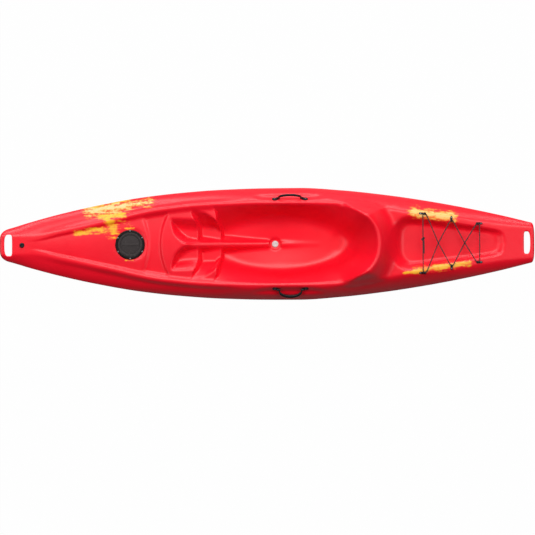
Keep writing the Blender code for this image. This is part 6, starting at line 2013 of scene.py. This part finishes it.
def build_bungee():
    diameter = bpy.context.scene.kayak_sizes.cord_diameter
    radius = diameter / 2
    route, centre = cord_route()
    corners = soften(route, CORD_TURN)
    path = []
    for before, after in zip(corners, corners[1:]):
        steps = max(1, round((after - before).length / CORD_POINT_STEP))
        path += [before.lerp(after, k / steps) for k in range(steps)]
    path.append(route[-1])
    for _ in range(CORD_EASE):
        path[1:-1] = [(a + 2 * b + c) / 4 for a, b, c in zip(path, path[1:], path[2:])]
    cord = swept("bungee", path, radius, 14, "braided_cover")
    settle(cord, "hull", "black_shock_cord", "bungee_cord")
    knot = swept("bungee_tied_knot", knot_path(centre), radius * KNOT_TIGHT, 12, "braided_cover")
    beside = Vector((2 * radius, 0.0, radius / 4))
    lain = [point + beside for point in path[:-round(TAIL_REACH / CORD_POINT_STEP):-1]]
    tail = swept("bungee_tail", [centre + beside / 2, *lain], radius * KNOT_TIGHT, 12, "braided_cover")
    settle(knot, "hull", "black_shock_cord", "bungee_knot")
    settle(tail, "hull", "black_shock_cord")
    length = sum((b - a).length for a, b in zip(path, path[1:]))
    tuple(path[0])


# Skid plate

def build_skid():
    outline = rounded(SKID_LENGTH / 2, SKID_HALF_WIDTH, SKID_CORNER, 8)
    plate = prism("skid_plate_moulding", outline, GAP, GAP + SKID_THICK, "black_moulding", keel_frame(),
                  SKID_EDGE)
    holes = []
    for place, seat in skid_screw_places():
        profile = ((0.0, DEEP_CUT), (SKID_HEAD_RADIUS, DEEP_CUT), (SKID_HEAD_RADIUS, seat),
                   (SCREW_HOLE_RADIUS, seat), (SCREW_HOLE_RADIUS, -SHORT_CUT), (0.0, -SHORT_CUT))
        holes.append(turned("screw_hole", profile, 32, None, place))
    combine(plate, holes, "DIFFERENCE")
    settle(plate, "hull", "black_nylon", "skid_plate")


# Pieces that keep their solids, by the last word of their names

SOLID_FINISHES = {
    "insert": "insert_brass", "block": "cell_foam", "seal": "soft_rubber", "gasket": "soft_rubber",
}


def coat_solids():
    """Give each solid that still shows its own procedural finish."""
    for name, node in frame["nodes"].items():
        if not node.hide_render:
            for place in node.material_slots:
                place.material = finish(SOLID_FINISHES[name.rsplit("_", 1)[-1]])


# Stage

def build_stage():
    """White floor, plain studio light and a camera straight above the boat."""
    scene = bpy.context.scene
    scene.view_settings.view_transform = "Standard"
    corners = [(x * FLOOR_HALF, y * FLOOR_HALF, 0.0) for x, y in ((-1, -1), (1, -1), (1, 1), (-1, 1))]
    floor = make_piece("floor", corners, [(0, 1, 2, 3)])
    floor.data.transform(Matrix.Translation((0.0, 0.0, CAD_BOX[0].z)))
    floor.data.materials.append(floor_paint())
    floor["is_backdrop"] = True
    light_world()
    for name, place, size, power in LAMPS:
        lamp = bpy.data.lights.new(name, "AREA")
        lamp.shape = "RECTANGLE"
        lamp.size, lamp.size_y = size
        lamp.energy = power
        holder = link(name, lamp)
        holder.location = place
        holder.rotation_euler = (LAMP_AIM - Vector(place)).to_track_quat("-Z", "Y").to_euler()
    lens = bpy.data.cameras.new("camera")
    lens.sensor_width = SENSOR
    lens.lens = SENSOR * CAMERA_HEIGHT / FRAME_WIDTH
    lens.clip_end = 2 * CAMERA_HEIGHT
    camera = link("camera", lens)
    off_centre = (PHOTO_SIZE / 2 - BOAT_LINE_PIXEL) * FRAME_WIDTH / PHOTO_SIZE
    camera.location = (CAMERA_X, -off_centre, MID_HEIGHT + CAMERA_HEIGHT)
    camera.rotation_euler = (0.0, 0.0, math.radians(-CAMERA_ROLL))
    scene.camera = camera


def floor_paint():
    """White floor that keeps a soft shadow and stays white to the camera."""
    made = Finish("white_floor", colour=opaque((FLOOR_SHADE,) * 3), rough=0.9)
    seen = seen_directly(made)
    glow = made.add("ShaderNodeEmission", {}, {"Color": (1.0, 1.0, 1.0, 1.0), "Strength": 1.0})
    surface = made.add("ShaderNodeMixShader", {}, {
        0: seen * FLOOR_GLOW, 1: Wire(made, made.shader.outputs[0]), 2: glow})
    made.feed(made.tree.nodes["Material Output"].inputs["Surface"], surface)
    return made.material


def seen_directly(made):
    """1 on rays from the camera or through a clear surface, and a little on mirrored ones."""
    path = {name: made.add("ShaderNodeLightPath", {}, {}, name)
            for name in ("Is Camera Ray", "Is Glossy Ray", "Is Transmission Ray")}
    most = path["Is Camera Ray"]
    for name, share in (("Is Glossy Ray", FLOOR_MIRROR), ("Is Transmission Ray", 1.0)):
        most = most.maths("MAXIMUM", most, path[name] * share)
    return most


def light_world():
    """White to the camera, and a faint even light on the object."""
    world = bpy.data.worlds.new("studio")
    bpy.context.scene.world = world
    world.use_nodes = True
    made = NodeTree(world.node_tree)
    back = world.node_tree.nodes["Background"]
    camera_ray = made.add("ShaderNodeLightPath", {}, {}, "Is Camera Ray")
    made.feed(back.inputs["Color"], (1.0, 1.0, 1.0, 1.0))
    made.feed(back.inputs["Strength"], WORLD_LIGHT + camera_ray * (1.0 - WORLD_LIGHT))


# Add-on

def colour_property(name, description, default):
    return bpy.props.FloatVectorProperty(name=name, description=description, subtype="COLOR", size=3,
                                         min=0.0, max=1.0, default=default)


def length_property(name, description, default):
    return bpy.props.FloatProperty(name=name, description=description, unit="LENGTH", min=0.0,
                                   default=default, precision=4)


class KayakColours(bpy.types.PropertyGroup):
    """Colours of the kayak's finishes."""
    hull_red: colour_property("Hull red", "Main colour of the moulding", (0.92, 0.004, 0.020))
    hull_deep_red: colour_property("Hull deep red", "Slight darker clouding in the moulding",
                                   (0.86, 0.002, 0.016))
    streak_orange: colour_property("Streak orange", "Soft edge of the marbled streaks", (0.92, 0.12, 0.018))
    streak_yellow: colour_property("Streak yellow", "Heart of the marbled streaks", (0.93, 0.45, 0.014))
    # Painted sheen: cream that pales the streaks on the lit flank, standing in for its glossy highlight.
    streak_cream: colour_property("Streak cream", "Palest marbling of the flank", (0.93, 0.52, 0.22))
    ring_black: colour_property("Ring black", "Hatch ring", (0.004, 0.003, 0.003))
    fitting_black: colour_property("Fitting black", "Moulded fittings, rubber and cord",
                                   (0.009, 0.008, 0.009))
    lid_grey: colour_property("Lid grey", "Hatch lid", (0.030, 0.023, 0.023))
    plug_pale: colour_property("Plug pale", "Drain plug in the seat", (0.66, 0.63, 0.62))
    screw_steel: colour_property("Screw steel", "Screws", (0.30, 0.30, 0.31))
    insert_brass: colour_property("Insert brass", "Threaded inserts", (0.66, 0.48, 0.20))
    foam_white: colour_property("Foam white", "Foam blocks in the hull", (0.80, 0.80, 0.78))


class KayakSizes(bpy.types.PropertyGroup):
    """Sizes of small detail that is free to change."""
    cord_diameter: length_property("Cord diameter", "Thickness of the shock cord", 2 * CORD_RADIUS)
    screw_recess: length_property("Screw recess", "Width of a screw's cross recess", 0.0009)
    lid_ribs: bpy.props.IntProperty(name="Lid ribs", description="Grip ribs round the hatch lid", min=8,
                                    max=120, default=48)
    lid_rib_length: length_property("Lid rib length", "Length of a grip rib across the rim", 0.0085)
    lid_rib_width: length_property("Lid rib width", "Width of a grip rib", 0.0026)
    lid_rib_rise: length_property("Lid rib rise", "Height of a grip rib above the rim", 0.0009)


class KayakOperator:
    """Shared running of the operators, which says so when one that adds pieces made none."""
    bl_options = {"REGISTER"}
    adds = True

    def execute(self, context):
        before = len(bpy.data.objects)
        self.build()
        if len(bpy.data.objects) == before and self.adds:
            raise RuntimeError(f"{self.bl_label} made nothing")
        return {"FINISHED"}


class KAYAK_OT_add_stage(KayakOperator, bpy.types.Operator):
    """Add the floor, the lights and the camera"""
    bl_idname = "kayak.add_stage"
    bl_label = "Add stage"
    build = staticmethod(build_stage)


class KAYAK_OT_add_bungee(KayakOperator, bpy.types.Operator):
    """Add the shock cord with its knot over the tankwell"""
    bl_idname = "kayak.add_bungee"
    bl_label = "Add bungee"
    build = staticmethod(build_bungee)


class KAYAK_OT_add_hull(KayakOperator, bpy.types.Operator):
    """Add the moulded hull with its holes and seats"""
    bl_idname = "kayak.add_hull"
    bl_label = "Add hull"
    build = staticmethod(build_hull)


class KAYAK_OT_add_hatch(KayakOperator, bpy.types.Operator):
    """Add the hatch ring and its screw-in lid"""
    bl_idname = "kayak.add_hatch"
    bl_label = "Add hatch"
    build = staticmethod(build_hatch)


class KAYAK_OT_add_drain_plugs(KayakOperator, bpy.types.Operator):
    """Add the drain plugs of the bow and the seat"""
    bl_idname = "kayak.add_drain_plugs"
    bl_label = "Add drain plugs"
    build = staticmethod(build_plugs)


class KAYAK_OT_add_handles(KayakOperator, bpy.types.Operator):
    """Add the two carry handles with their pads"""
    bl_idname = "kayak.add_handles"
    bl_label = "Add carry handles"
    build = staticmethod(build_handles)


class KAYAK_OT_add_lashing_eyes(KayakOperator, bpy.types.Operator):
    """Add the six lashing eyes of the bungee"""
    bl_idname = "kayak.add_lashing_eyes"
    bl_label = "Add lashing eyes"
    build = staticmethod(build_eyes)


class KAYAK_OT_add_skid_plate(KayakOperator, bpy.types.Operator):
    """Add the skid plate under the stern"""
    bl_idname = "kayak.add_skid_plate"
    bl_label = "Add skid plate"
    build = staticmethod(build_skid)


class KAYAK_OT_add_screws(KayakOperator, bpy.types.Operator):
    """Add every screw with its cross recess"""
    bl_idname = "kayak.add_screws"
    bl_label = "Add screws"
    build = staticmethod(build_screws)


class KAYAK_OT_finish_solids(KayakOperator, bpy.types.Operator):
    """Give the solids that still show their finishes"""
    bl_idname = "kayak.finish_solids"
    bl_label = "Finish solids"
    adds = False
    build = staticmethod(coat_solids)


class KAYAK_PT_pieces(bpy.types.Panel):
    """Buttons that build the kayak piece by piece, with its colours and sizes."""
    bl_idname = "KAYAK_PT_pieces"
    bl_label = "Recreational kayak"
    bl_space_type = "VIEW_3D"
    bl_region_type = "UI"
    bl_category = "Kayak"

    def draw(self, context):
        for group in (context.scene.kayak_colours, context.scene.kayak_sizes):
            for name in group.bl_rna.properties.keys():
                if name not in ("rna_type", "name"):
                    self.layout.prop(group, name)
        for made in OPERATORS:
            self.layout.operator(made.bl_idname)


OPERATORS = (
    KAYAK_OT_add_stage, KAYAK_OT_add_bungee, KAYAK_OT_add_hull, KAYAK_OT_add_hatch, KAYAK_OT_add_drain_plugs,
    KAYAK_OT_add_handles, KAYAK_OT_add_lashing_eyes, KAYAK_OT_add_skid_plate, KAYAK_OT_add_screws,
    KAYAK_OT_finish_solids)
CLASSES = (KayakColours, KayakSizes, *OPERATORS, KAYAK_PT_pieces)


def register():
    for made in CLASSES:
        bpy.utils.register_class(made)
    bpy.types.Scene.kayak_colours = bpy.props.PointerProperty(type=KayakColours)
    bpy.types.Scene.kayak_sizes = bpy.props.PointerProperty(type=KayakSizes)


def unregister():
    del bpy.types.Scene.kayak_sizes
    del bpy.types.Scene.kayak_colours
    for made in reversed(CLASSES):
        bpy.utils.unregister_class(made)


def main():
    register()
    bpy.ops.kayak.add_stage()
    bpy.ops.kayak.add_bungee()
    bpy.ops.kayak.add_hull()
    bpy.ops.kayak.add_hatch()
    bpy.ops.kayak.add_drain_plugs()
    bpy.ops.kayak.add_handles()
    bpy.ops.kayak.add_lashing_eyes()
    bpy.ops.kayak.add_skid_plate()
    bpy.ops.kayak.add_screws()
    bpy.ops.kayak.finish_solids()
    boxes = {"solids": CAD_BOX, "dressed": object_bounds()}
    {name: [list(corner) for corner in box] for name, box in boxes.items()}


if __name__ == "__main__":
    main()
